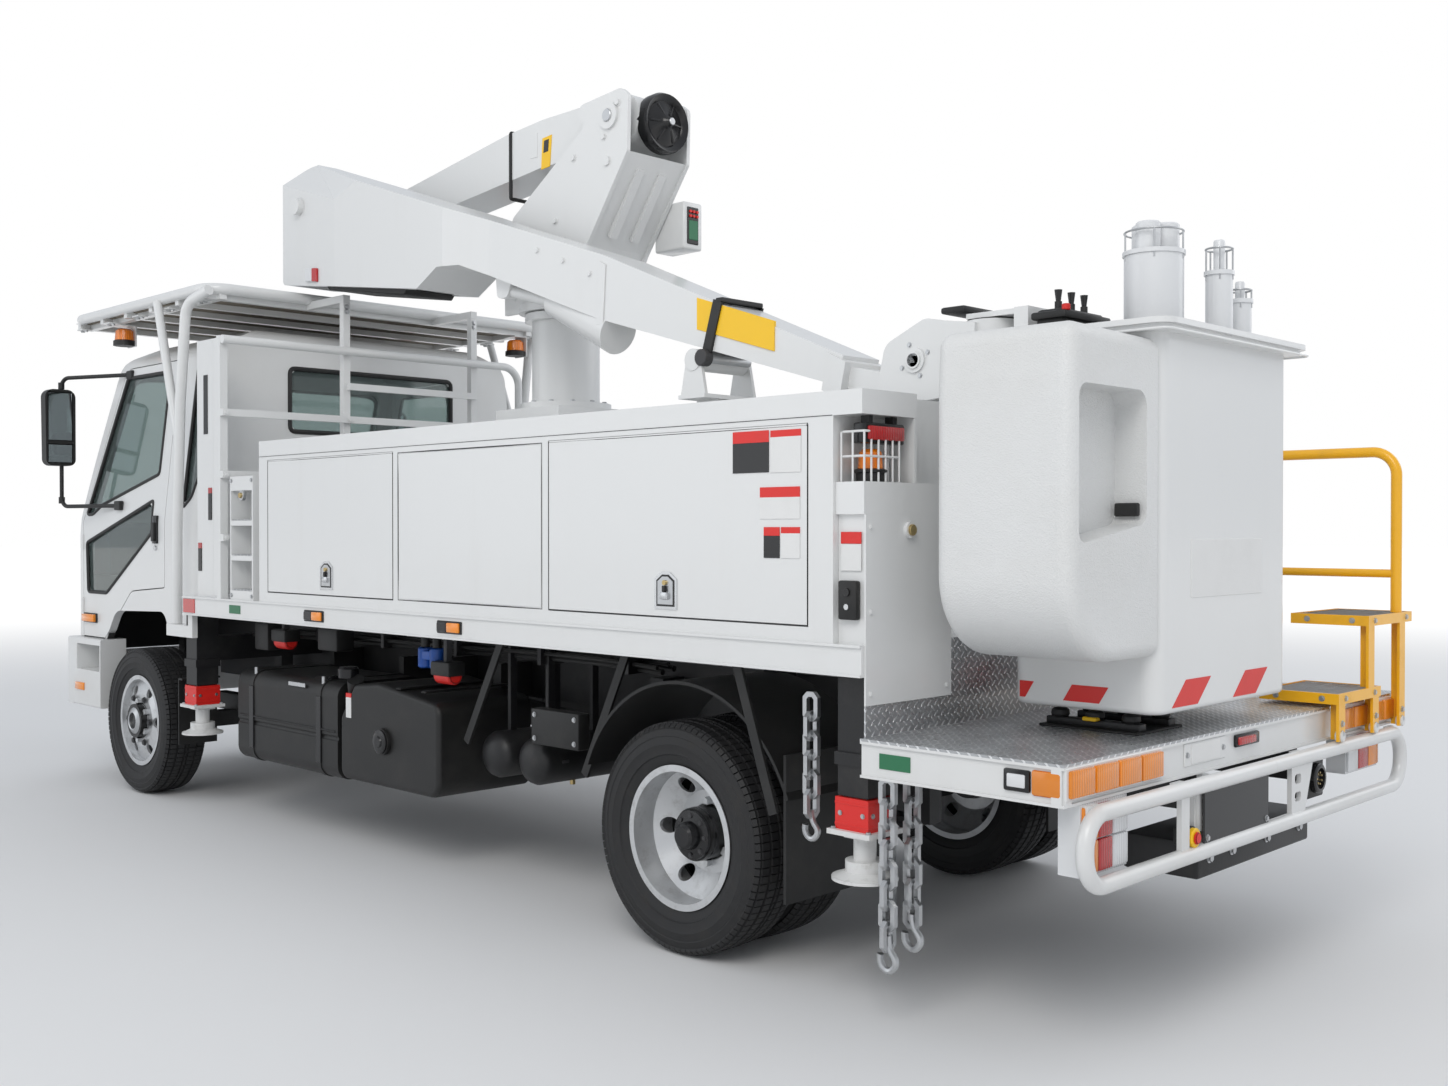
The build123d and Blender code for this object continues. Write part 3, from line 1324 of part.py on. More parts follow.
def link(turned):
    """One chain link standing upright, faceted, in the YZ plane or turned to face Y."""
    outer = link_length / 2
    wide = link_width / 2
    cut = wide * 0.55

    def ring(out, half, corner):
        return [
            (-half, -out + corner), (-half + corner, -out), (half - corner, -out), (half, -out + corner),
            (half, out - corner), (half - corner, out), (-half + corner, out), (-half, out - corner),
        ]

    shape = side_plate(ring(outer, wide, cut), -link_bar / 2, link_bar / 2)
    shape -= side_plate(ring(outer - link_bar, wide - link_bar, cut * 0.45), -link_bar, link_bar)
    return Rot(0, 0, 90) * shape if turned else shape


def hanging_chain(x, y, top_z, count):
    """A chain of links that hangs straight down from its top."""
    return [Pos(x, y, top_z - link_length / 2 - link_pitch * index) * link(index % 2) for index in range(count)]


def chains():
    """The chains with hooks that hang at the rear corner of the tray and deck."""
    x = body_half_width - 88
    links = hanging_chain(x, tray_rear_y - 269, tray_bottom_z - 69, 6)
    links += hanging_chain(x + 20, tray_rear_y + 55, deck_bottom_z - 2, 8)
    links += hanging_chain(x - 50, tray_rear_y + 95, deck_bottom_z - 2, 7)
    staple = block(x - 12, x + 12, tray_rear_y - 277, tray_rear_y - 261, tray_bottom_z - 90, tray_bottom_z)
    staple -= block(x - 20, x + 20, tray_rear_y - 274, tray_rear_y - 264, tray_bottom_z - 88, tray_bottom_z - 40)
    return group(*links)


def parts():
    """Every node with its shape."""
    left_front = at_wheel(front_rim(), front_track_half, front_axle_y)
    left_front_tyre = at_wheel(tyre(), front_track_half, front_axle_y)
    left_rear = at_wheel(rear_rims(), dual_outer_x, rear_axle_y)
    outer_tyre = at_wheel(tyre(), dual_outer_x, rear_axle_y)
    left_rear_tyres = group(outer_tyre, Pos(-dual_spacing, 0, 0) * outer_tyre)
    pairs = {
        "cab_door": cab_door(),
        "door_glass": door_glass(),
        "mirror": mirror_assembly(),
        "knuckle": knuckle(),
        "front_rim": left_front,
        "front_tyre": left_front_tyre,
        "rear_rims": left_rear,
        "rear_tyres": left_rear_tyres,
    }
    nodes = {
        "chassis_frame": chassis_frame(),
        "axles": axles(),
        "leaf_springs": leaf_springs(),
        "driveline": driveline(),
        "cab_shell": cab_shell(),
        "cab_glazing": cab_glazing(),
        "cab_interior": cab_interior(),
        "steering_wheel": steering_wheel(),
        "front_bumper": front_bumper(),
        "grille": grille(),
        "lamps": lamps(),
        "mudguards": mudguards(),
        "fuel_tank": fuel_tank(),
        "hydraulic_tank": hydraulic_tank(),
        "outrigger_sleeves": outrigger_sleeves(),
        "tray_frame": tray_frame(),
        "lockers": both_sides(locker_body()),
        "rear_deck": rear_deck(),
        "deck_plate": deck_plate(),
        "rear_column": rear_column(),
        "pedestal": pedestal(),
        "roof_rack": roof_rack(),
        "guard_posts": guard_posts(),
        "guard_bars": guard_bars(),
        "rear_steps": rear_steps(),
        "rear_bumper": rear_bumper(),
        "boom_rest": boom_rest(),
        "chains": chains(),
        "turntable_head": turntable_head(),
        "lower_boom": lower_boom(),
        "elbow": elbow(),
        "upper_boom": upper_boom(),
        "tip_bracket": tip_bracket(),
        "basket": basket(),
        "basket_cover": basket_cover(),
        "tool_canisters": tool_canisters(),
    }
    for name, left in pairs.items():
        nodes[f"{name}_left"] = left
        nodes[f"{name}_right"] = mirrored(left)
    for end, span, jack_y in (("front", front_door_span, front_jack_y), ("rear", rear_door_span, rear_jack_y)):
        nodes[f"locker_door_left_{end}"] = locker_door(span)
        nodes[f"locker_door_right_{end}"] = mirrored(locker_door(span))
        nodes[f"outrigger_leg_left_{end}"] = outrigger_leg(jack_x, jack_y)
        nodes[f"outrigger_leg_right_{end}"] = outrigger_leg(-jack_x, jack_y)
    return nodes


os.makedirs("parts", exist_ok=True)
for node, shape in parts().items():
    export_step(shape, f"parts/{node}.step")
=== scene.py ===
import math

import bpy
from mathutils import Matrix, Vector


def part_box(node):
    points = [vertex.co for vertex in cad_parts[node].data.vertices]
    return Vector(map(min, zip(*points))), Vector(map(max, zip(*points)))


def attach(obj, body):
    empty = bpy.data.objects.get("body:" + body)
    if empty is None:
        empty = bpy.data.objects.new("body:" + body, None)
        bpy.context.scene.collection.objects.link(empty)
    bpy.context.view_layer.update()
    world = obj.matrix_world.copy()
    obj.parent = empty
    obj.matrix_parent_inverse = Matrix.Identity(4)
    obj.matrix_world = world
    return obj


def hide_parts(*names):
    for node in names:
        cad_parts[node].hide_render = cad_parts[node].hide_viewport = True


# Cherry picker truck, in metres. +Z is up, the front faces -Y and +X is the left side.
bl_info = {
    "name": "Cherry Picker Truck",
    "version": (1, 0, 0),
    "blender": (4, 5, 0),
    "location": "View3D > Sidebar > Truck",
    "description": "Dresses the packed truck with its finishes, trim and studio",
    "category": "Object",
}

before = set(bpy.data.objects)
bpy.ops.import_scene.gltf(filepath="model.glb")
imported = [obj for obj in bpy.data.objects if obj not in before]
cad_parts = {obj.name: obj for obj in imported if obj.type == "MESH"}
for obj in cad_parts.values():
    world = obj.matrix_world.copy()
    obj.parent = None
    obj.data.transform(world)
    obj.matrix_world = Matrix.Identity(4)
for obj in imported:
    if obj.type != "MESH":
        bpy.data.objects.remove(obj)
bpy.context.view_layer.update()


class TruckColours(bpy.types.PropertyGroup):
    """Colours of the truck's finishes."""

    body: bpy.props.FloatVectorProperty(
        name="Body", description="White body paint", subtype="COLOR", size=3, min=0, max=1,
        default=(0.72, 0.725, 0.72))
    chassis: bpy.props.FloatVectorProperty(
        name="Chassis", description="Black chassis paint", subtype="COLOR", size=3, min=0, max=1,
        default=(0.009, 0.009, 0.010))
    steps: bpy.props.FloatVectorProperty(
        name="Steps", description="Yellow paint of the steps and handrail", subtype="COLOR", size=3,
        min=0, max=1, default=(0.93, 0.47, 0.012))
    amber: bpy.props.FloatVectorProperty(
        name="Amber", description="Amber lamp lenses", subtype="COLOR", size=3, min=0, max=1,
        default=(0.90, 0.27, 0.008))
    red: bpy.props.FloatVectorProperty(
        name="Red", description="Red stripes, plates and jack boxes", subtype="COLOR", size=3,
        min=0, max=1, default=(0.70, 0.02, 0.015))


class TrimSizes(bpy.types.PropertyGroup):
    """Sizes of the truck's trim."""

    tread_depth: bpy.props.FloatProperty(
        name="Tread depth", description="Depth of the tyres' grooves", unit="LENGTH", default=0.010)
    tread_blocks: bpy.props.IntProperty(
        name="Tread blocks", description="Blocks round each tyre", default=90, min=30, max=160)
    tyre_width: bpy.props.FloatProperty(
        name="Tyre width", description="Width of each tyre", unit="LENGTH", default=0.236)
    seal: bpy.props.FloatProperty(
        name="Window seal", description="Radius of the rubber round the windows", unit="LENGTH",
        default=0.011)
    beacon: bpy.props.FloatProperty(
        name="Beacon", description="Radius of the amber beacons", unit="LENGTH", default=0.055)
    stripe: bpy.props.FloatProperty(
        name="Stripe", description="Height of the basket's slanted stripes", unit="LENGTH",
        default=0.080)
    bolt: bpy.props.FloatProperty(
        name="Bolt", description="Radius of the bolt heads", unit="LENGTH", default=0.011)


class StudioSizes(bpy.types.PropertyGroup):
    """Where the camera stands and how the studio is lit."""

    lens: bpy.props.FloatProperty(
        name="Lens", description="Focal length of the camera", unit="CAMERA", default=35.5)
    camera_place: bpy.props.FloatVectorProperty(
        name="Camera place", description="Where the camera stands", subtype="TRANSLATION",
        unit="LENGTH", size=3, default=(4.5829, 5.6263, 1.5228))
    camera_turn: bpy.props.FloatProperty(
        name="Camera turn", description="Camera's turn about the vertical, away from looking at +Y",
        subtype="ANGLE", unit="ROTATION", default=math.radians(180 - 45.44))
    camera_tilt: bpy.props.FloatProperty(
        name="Camera tilt", description="How far the camera looks down", subtype="ANGLE",
        unit="ROTATION", default=math.radians(0.56))
    floor_shade: bpy.props.FloatProperty(
        name="Floor shade", description="Grey level of the floor", subtype="FACTOR", min=0, max=1,
        default=0.80)


class Number:
    """A number on a material's socket, whose arithmetic adds Math nodes."""

    def __init__(self, finish, socket):
        """A number that one of a finish's sockets gives."""
        self.finish = finish
        self.socket = socket

    def math(self, operation, *values, clamp=False):
        """The result of a Math node on numbers."""
        node = self.finish.node("ShaderNodeMath", {"operation": operation, "use_clamp": clamp},
                                dict(enumerate(values)))
        return Number(self.finish, node.outputs[0])

    def __add__(self, other):
        return self.math("ADD", self, other)

    __radd__ = __add__

    def __sub__(self, other):
        return self.math("SUBTRACT", self, other)

    def __rsub__(self, other):
        return self.math("SUBTRACT", other, self)

    def __mul__(self, other):
        return self.math("MULTIPLY", self, other)

    __rmul__ = __mul__

    def __gt__(self, other):
        return self.math("GREATER_THAN", self, other)

    def __lt__(self, other):
        return self.math("LESS_THAN", self, other)

    def clamped(self):
        """The same number, kept between 0 and 1."""
        return self.math("ADD", self, 0.0, clamp=True)

    def root(self):
        """The number's square root."""
        return self.math("SQRT", self)

    def wrapped(self, low, high):
        """The same number folded back into a span."""
        return self.math("WRAP", self, high, low)


class Finish:
    """A material with one Principled shader, and short calls that add its nodes."""

    def __init__(self, name, colour=(0.8, 0.8, 0.8), roughness=0.5, **sockets):
        """A new material. The other keywords name sockets of its shader and give their values."""
        self.material = bpy.data.materials.new(name)
        self.material.use_nodes = True
        self.tree = self.material.node_tree
        self.tree.nodes.clear()
        self.shader = self.node("ShaderNodeBsdfPrincipled")
        self.node("ShaderNodeOutputMaterial", None, {"Surface": self.shader.outputs[0]})
        self.shader.inputs["Base Color"].default_value = (*colour, 1)
        self.shader.inputs["Roughness"].default_value = roughness
        for socket, value in sockets.items():
            label = socket.replace("_", " ").title().replace("Ior", "IOR")
            self.shader.inputs[label].default_value = value
        self.place = self.node("ShaderNodeTexCoord").outputs["Object"]
        self.material.diffuse_color = (*colour, 1)

    def node(self, kind, settings=None, inputs=None):
        """A node of a kind, with its settings and its sockets' values or links."""
        made = self.tree.nodes.new(kind)
        for key, value in (settings or {}).items():
            setattr(made, key, value)
        for key, value in (inputs or {}).items():
            self.feed(made.inputs[key], value)
        return made

    def feed(self, socket, value):
        """Links a socket to a number or another socket, or sets its value."""
        if isinstance(value, Number):
            self.tree.links.new(value.socket, socket)
        elif isinstance(value, bpy.types.NodeSocket):
            self.tree.links.new(value, socket)
        else:
            socket.default_value = value

    def noise(self, scale, detail=4.0, roughness=0.6, place=None):
        """Soft noise from 0 to 1."""
        node = self.node("ShaderNodeTexNoise", None, {
            "Vector": place or self.place, "Scale": scale, "Detail": detail, "Roughness": roughness})
        return Number(self, node.outputs[0])

    def stretched(self, scale):
        """The surface's coordinates, scaled by a different amount along each axis."""
        return self.node("ShaderNodeMapping", None, {"Vector": self.place, "Scale": scale}).outputs[0]

    def axis(self, letter):
        """One coordinate of the surface, in metres."""
        return Number(self, self.node("ShaderNodeSeparateXYZ", None, {0: self.place}).outputs[letter])

    def between(self, value, low, high):
        """How far a number has come from low to high, from 0 to 1."""
        node = self.node("ShaderNodeMapRange", {"interpolation_type": "SMOOTHSTEP"}, {
            "Value": value, "From Min": low, "From Max": high, "To Min": 0.0, "To Max": 1.0})
        return Number(self, node.outputs[0])

    def mix(self, factor, first, second):
        """A colour between two colours."""
        first, second = (
            (*end, 1) if isinstance(end, tuple) and len(end) == 3 else end for end in (first, second))
        node = self.node("ShaderNodeMix", {"data_type": "RGBA"}, {0: factor, 6: first, 7: second})
        return node.outputs[2]

    def bump(self, height, distance, strength=1.0):
        """A bump that feeds the shader's normal."""
        node = self.node("ShaderNodeBump", None, {
            "Height": height, "Distance": distance, "Strength": strength})
        self.feed(self.shader.inputs["Normal"], node.outputs[0])

    def colour(self, value):
        """Sets what the surface's colour comes from."""
        self.feed(self.shader.inputs["Base Color"], value)

    def roughness(self, value):
        """Sets what the surface's roughness comes from."""
        self.feed(self.shader.inputs["Roughness"], value)


def body_paint(name, colour, dust=0.16):
    """Gloss paint with road dust low down, faint streaks and a slight orange peel."""
    finish = Finish(name, colour, 0.32, coat_weight=0.35, coat_roughness=0.12)
    height = finish.axis("Z")
    low = 1 - finish.between(height, 0.45, 1.5)
    streaks = finish.noise(1.0, 5.0, 0.65, finish.stretched((5.0, 5.0, 0.6)))
    patches = finish.noise(2.2, 5.0)
    grime = (low * finish.between(patches, 0.35, 0.75) + 0.35 * finish.between(streaks, 0.52, 0.80)) * dust
    finish.colour(finish.mix(grime.clamped(), colour, (0.45, 0.41, 0.35)))
    finish.roughness(0.30 + 0.35 * grime)
    finish.bump(finish.noise(55.0, 2.0), 0.0006, 0.35)
    return finish.material


def cab_paint(name, colour):
    """The cab's gloss paint, which turns to black liner under the floor and in the arches."""
    finish = Finish(name, colour, 0.3, coat_weight=0.35, coat_roughness=0.12)
    x = finish.axis("X")
    inside = (x * x < 1.045 ** 2) * (finish.axis("Z") < 1.085) * (finish.axis("Y") > cab_front + 0.03)
    dust = 0.12 * finish.between(finish.noise(2.2, 5.0), 0.4, 0.8)
    finish.colour(finish.mix(inside, finish.mix(dust, colour, (0.45, 0.41, 0.35)), (0.010, 0.010, 0.010)))
    finish.roughness(0.28 + 0.3 * dust + 0.35 * inside)
    finish.bump(finish.noise(55.0, 2.0), 0.0006, 0.35)
    return finish.material


def moulded_skin(name, colour):
    """Moulded plastic with a fine pebbled grain."""
    finish = Finish(name, colour, 0.5)
    cells = finish.node("ShaderNodeTexVoronoi", None, {"Vector": finish.place, "Scale": 210.0})
    patches = finish.between(finish.noise(2.6, 5.0), 0.35, 0.8)
    finish.colour(finish.mix(0.16 * patches, colour, (0.50, 0.48, 0.43)))
    finish.roughness(0.42 + 0.16 * patches)
    finish.bump(Number(finish, cells.outputs["Distance"]) + 0.6 * finish.noise(60.0, 3.0), 0.0016, 0.7)
    return finish.material


def plain_paint(name, colour, roughness, dust=0.3):
    """Semi-gloss paint with dust in patches."""
    finish = Finish(name, colour, roughness)
    patches = finish.noise(6.0, 6.0, 0.65)
    dusty = finish.between(patches, 0.45, 0.78) * dust
    finish.colour(finish.mix(dusty, colour, (0.11, 0.10, 0.088)))
    finish.roughness(roughness + 0.3 * dusty)
    finish.bump(finish.noise(120.0, 3.0), 0.0008, 0.4)
    return finish.material


def tinted_glass(name, colour):
    """Lightly tinted window glass."""
    finish = Finish(name, colour, 0.02, transmission_weight=0.9, ior=1.45)
    finish.roughness(0.01 + 0.04 * finish.noise(3.0))
    return finish.material


def mirror_glass(name):
    """Silvered glass with a few dust specks."""
    finish = Finish(name, (0.62, 0.65, 0.67), 0.03, metallic=1.0)
    finish.roughness(0.02 + 0.10 * finish.between(finish.noise(40.0, 4.0), 0.6, 0.8))
    return finish.material


def rubber(name):
    """Tyre rubber with dust in its tread."""
    finish = Finish(name, (0.013, 0.013, 0.014), 0.75)
    dusty = finish.between(finish.noise(14.0, 6.0, 0.7), 0.45, 0.8)
    finish.colour(finish.mix(0.3 * dusty, (0.013, 0.013, 0.014), (0.07, 0.064, 0.056)))
    finish.roughness(0.62 + 0.2 * dusty)
    finish.bump(finish.noise(260.0, 3.0), 0.0008, 0.5)
    return finish.material


def brushed_metal(name, colour, roughness=0.35):
    """Bare or galvanised metal with cloudy grain."""
    finish = Finish(name, colour, roughness, metallic=1.0)
    cloud = finish.noise(22.0, 5.0, 0.7)
    finish.colour(finish.mix(cloud, tuple(c * 0.75 for c in colour), colour))
    finish.roughness(roughness - 0.08 + 0.2 * cloud)
    finish.bump(finish.noise(150.0, 3.0), 0.0004, 0.3)
    return finish.material


def wheel_silver(name, axle_y):
    """Silver wheel paint that turns to the dark grease of the hub near the axle."""
    finish = Finish(name, (0.60, 0.61, 0.62), 0.34, metallic=0.6)
    y = finish.axis("Y") - axle_y
    z = finish.axis("Z") - wheel_radius
    radius = (y * y + z * z).root()
    hub = 1 - finish.between(radius, 0.100, 0.106)
    dirt = finish.between(finish.noise(18.0, 6.0, 0.7), 0.45, 0.8)
    silver = finish.mix(0.4 * dirt, (0.62, 0.63, 0.64), (0.20, 0.18, 0.16))
    finish.colour(finish.mix(hub, silver, (0.035, 0.035, 0.035)))
    finish.roughness(0.30 + 0.3 * dirt)
    finish.bump(finish.noise(90.0, 3.0), 0.0006, 0.4)
    return finish.material


def jack_paint(name, red):
    """Black leg, red warning box and pale plate and foot, from top to bottom."""
    finish = Finish(name, red, 0.4)
    height = finish.axis("Z")
    above = height > 0.6895
    box = (height > 0.589) * (1 - above)
    scuffs = finish.between(finish.noise(20.0, 6.0, 0.7), 0.5, 0.8)
    pale = finish.mix(0.4 * scuffs, (0.70, 0.70, 0.69), (0.30, 0.28, 0.25))
    colour = finish.mix(box, pale, red)
    finish.colour(finish.mix(above, colour, (0.02, 0.02, 0.021)))
    finish.roughness(0.34 + 0.25 * scuffs)
    finish.bump(finish.noise(80.0, 3.0), 0.0006, 0.4)
    return finish.material


def lens(name, colour, depth=0.55):
    """A moulded lamp lens with fine upright ribs."""
    finish = Finish(name, colour, 0.12, coat_weight=0.6, coat_roughness=0.03)
    ribs = finish.node("ShaderNodeTexWave", {"bands_direction": "X"}, {
        "Vector": finish.place, "Scale": 26.0, "Distortion": 0.0})
    fold = Number(finish, ribs.outputs["Fac"])
    finish.colour(finish.mix(0.5 * fold, colour, tuple(c * depth for c in colour)))
    finish.roughness(0.08 + 0.1 * fold)
    finish.bump(fold, 0.0018, 0.6)
    return finish.material


def grip_bars(finish, pitch, height):
    """Bumps a finish with bars that lean each way by turns, and gives their height from 0 to 1."""
    across = finish.axis("X")
    along = finish.axis("Y") + finish.axis("Z")
    bars = None
    for lean, shift in ((1, 0.0), (-1, 0.5)):
        u = (across + shift * pitch).wrapped(-pitch / 2, pitch / 2)
        v = (along + shift * pitch).wrapped(-pitch / 2, pitch / 2)
        long = (u + lean * v) * 0.7071
        short = (v - lean * u) * 0.7071
        reach = long * long * (1 / (0.36 * pitch) ** 2) + short * short * (1 / (0.10 * pitch) ** 2)
        bar = 1 - finish.between(reach, 0.55, 1.15)
        bars = bar if bars is None else bars.math("MAXIMUM", bars, bar)
    finish.bump(bars + 0.05 * finish.noise(200.0, 2.0), height, 1.0)
    return bars


def chequer_plate(name):
    """Aluminium tread plate with raised bars that alternate in direction."""
    finish = Finish(name, (0.62, 0.63, 0.64), 0.3, metallic=1.0)
    bars = grip_bars(finish, 0.036, 0.004)
    cloud = finish.noise(9.0, 5.0)
    plate = finish.mix(cloud, (0.40, 0.41, 0.42), (0.60, 0.61, 0.62))
    finish.colour(finish.mix(bars, plate, (0.86, 0.87, 0.88)))
    finish.roughness(0.34 + 0.16 * cloud - 0.14 * bars)
    return finish.material


def step_paint(name, colour):
    """Gloss paint of the steps, with faint dusty patches."""
    finish = Finish(name, colour, 0.34, coat_weight=0.25, coat_roughness=0.1)
    patches = finish.between(finish.noise(7.0, 6.0, 0.65), 0.5, 0.8)
    finish.colour(finish.mix(0.18 * patches, colour, (0.28, 0.17, 0.05)))
    finish.roughness(0.30 + 0.22 * patches)
    finish.bump(finish.noise(110.0, 3.0), 0.0007, 0.4)
    return finish.material


def fabric(name, colour):
    """Woven seat cloth."""
    finish = Finish(name, colour, 0.9, sheen_weight=0.3)
    threads = [Number(finish, finish.node("ShaderNodeTexWave", {"bands_direction": way}, {
        "Vector": finish.place, "Scale": 190.0}).outputs["Fac"]) for way in ("X", "DIAGONAL")]
    weave = threads[0] * threads[1]
    finish.colour(finish.mix(weave, tuple(c * 0.7 for c in colour), tuple(c * 1.3 for c in colour)))
    finish.roughness(0.78 + 0.15 * weave)
    finish.bump(weave, 0.0008, 0.6)
    return finish.material


def shaded_plywood(name):
    """Brown ply with long pale grain under the roof rack, darkened as painted shade."""
    # These browns are the ply's own tone darkened to paint the shade under the rack; the grain is real.
    finish = Finish(name, (0.21, 0.18, 0.14), 0.7)
    grain = finish.noise(3.0, 6.0, 0.7, finish.stretched((14.0, 1.2, 1.0)))
    finish.colour(finish.mix(finish.between(grain, 0.3, 0.7), (0.15, 0.125, 0.095), (0.27, 0.235, 0.185)))
    finish.roughness(0.6 + 0.25 * grain)
    finish.bump(grain, 0.0006, 0.4)
    return finish.material


wheel_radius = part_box("front_tyre_left")[1][2] / 2
front_axle_y = (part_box("front_tyre_left")[0][1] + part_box("front_tyre_left")[1][1]) / 2
rear_axle_y = (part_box("rear_tyres_left")[0][1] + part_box("rear_tyres_left")[1][1]) / 2
body_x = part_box("tray_frame")[1][0]
deck_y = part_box("rear_deck")[1][1]
deck_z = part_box("deck_plate")[0][2] + 0.008
cab_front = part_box("cab_shell")[0][1]
slew_y = -0.006
boom_x = 0.455
sides = (("left", 1), ("right", -1))
finishes = {}


def fill_finishes(colours):
    """Makes every finish, by a short name that the pieces use."""
    white = tuple(colours.body)
    red = tuple(colours.red)
    amber = tuple(colours.amber)
    finishes.update({
        "white": body_paint("white_paint", white),
        "cab": cab_paint("cab_paint", white),
        "gelcoat": body_paint("white_gelcoat", tuple(c * 1.02 for c in white), 0.10),
        "moulding": moulded_skin("white_moulding", tuple(c * 0.98 for c in white)),
        "black": plain_paint("chassis_black", tuple(colours.chassis), 0.45, 0.18),
        "plastic": plain_paint("black_plastic", (0.009, 0.009, 0.009), 0.5, 0.12),
        "gloss_black": plain_paint("gloss_black", (0.007, 0.007, 0.008), 0.22, 0.06),
        # Black rubber, also used for the painted shade lines in the locker gaps and under the rim.
        "seal": plain_paint("black_rubber_and_painted_shade", (0.012, 0.012, 0.012), 0.5, 0.10),
        "trim": plain_paint("cab_trim", (0.10, 0.10, 0.105), 0.6, 0.10),
        "cloth": fabric("seat_cloth", (0.09, 0.10, 0.12)),
        "glass": tinted_glass("window_glass", (0.42, 0.50, 0.49)),
        "mirror": mirror_glass("mirror_glass"),
        "rubber": rubber("tyre_rubber"),
        "front_rim": wheel_silver("front_rim_silver", front_axle_y),
        "rear_rim": wheel_silver("rear_rim_silver", rear_axle_y),
        "front_disc": brushed_metal("hub_silver", (0.60, 0.61, 0.62), 0.3),
        "amber": lens("amber_lens", amber),
        "red_lens": lens("red_lens", (0.50, 0.008, 0.010)),
        "clear": lens("clear_lens", (0.72, 0.73, 0.74), 0.8),
        "chequer": chequer_plate("chequer_plate"),
        "yellow": step_paint("step_yellow", tuple(colours.steps)),
        "red": plain_paint("warning_red", red, 0.38, 0.10),
        "jack": jack_paint("jack_paint", red),
        "zinc": brushed_metal("zinc_plate", (0.62, 0.63, 0.64), 0.36),
        "steel": brushed_metal("polished_steel", (0.70, 0.71, 0.72), 0.24),
        "brass": brushed_metal("brass", (0.60, 0.46, 0.22), 0.32),
        "cast": plain_paint("engine_cast", (0.045, 0.045, 0.048), 0.6, 0.3),
        "label": plain_paint("blank_label", (0.74, 0.74, 0.73), 0.4, 0.05),
        "green": plain_paint("green_plate", (0.02, 0.16, 0.07), 0.35, 0.05),
        "blue": plain_paint("blue_paint", (0.01, 0.09, 0.42), 0.35, 0.10),
        "orange": lens("orange_lens", (0.95, 0.24, 0.01)),
        "gold": plain_paint("plate_yellow", (0.92, 0.55, 0.01), 0.4, 0.04),
        "canister": body_paint("canister_plastic", (0.74, 0.75, 0.76), 0.1),
        "ply": shaded_plywood("shaded_rack_sheet"),
    })


node_finishes = {
    "cab": ("cab_shell",),
    "white": (
        "cab_door_left", "cab_door_right", "front_bumper", "roof_rack", "guard_posts",
        "guard_bars", "tray_frame", "lockers", "locker_door_left_front", "locker_door_left_rear",
        "locker_door_right_front", "locker_door_right_rear", "rear_column", "pedestal", "rear_bumper",
        "boom_rest", "turntable_head", "lower_boom", "elbow", "upper_boom", "tip_bracket", "rear_deck"),
    "gelcoat": ("basket",),
    "moulding": ("basket_cover",),
    "canister": ("tool_canisters",),
    "black": (
        "chassis_frame", "axles", "leaf_springs", "outrigger_sleeves", "knuckle_left", "knuckle_right"),
    "cast": ("driveline",),
    "plastic": ("grille", "mirror_left", "mirror_right", "mudguards", "fuel_tank", "hydraulic_tank"),
    "trim": ("steering_wheel",),
    "cloth": ("cab_interior",),
    "glass": ("cab_glazing", "door_glass_left", "door_glass_right"),
    "front_rim": ("front_rim_left", "front_rim_right"),
    "rear_rim": ("rear_rims_left", "rear_rims_right"),
    "clear": ("lamps",),
    "chequer": ("deck_plate",),
    "yellow": ("rear_steps",),
    "zinc": ("chains",),
    "jack": (
        "outrigger_leg_left_front", "outrigger_leg_left_rear", "outrigger_leg_right_front",
        "outrigger_leg_right_rear"),
}


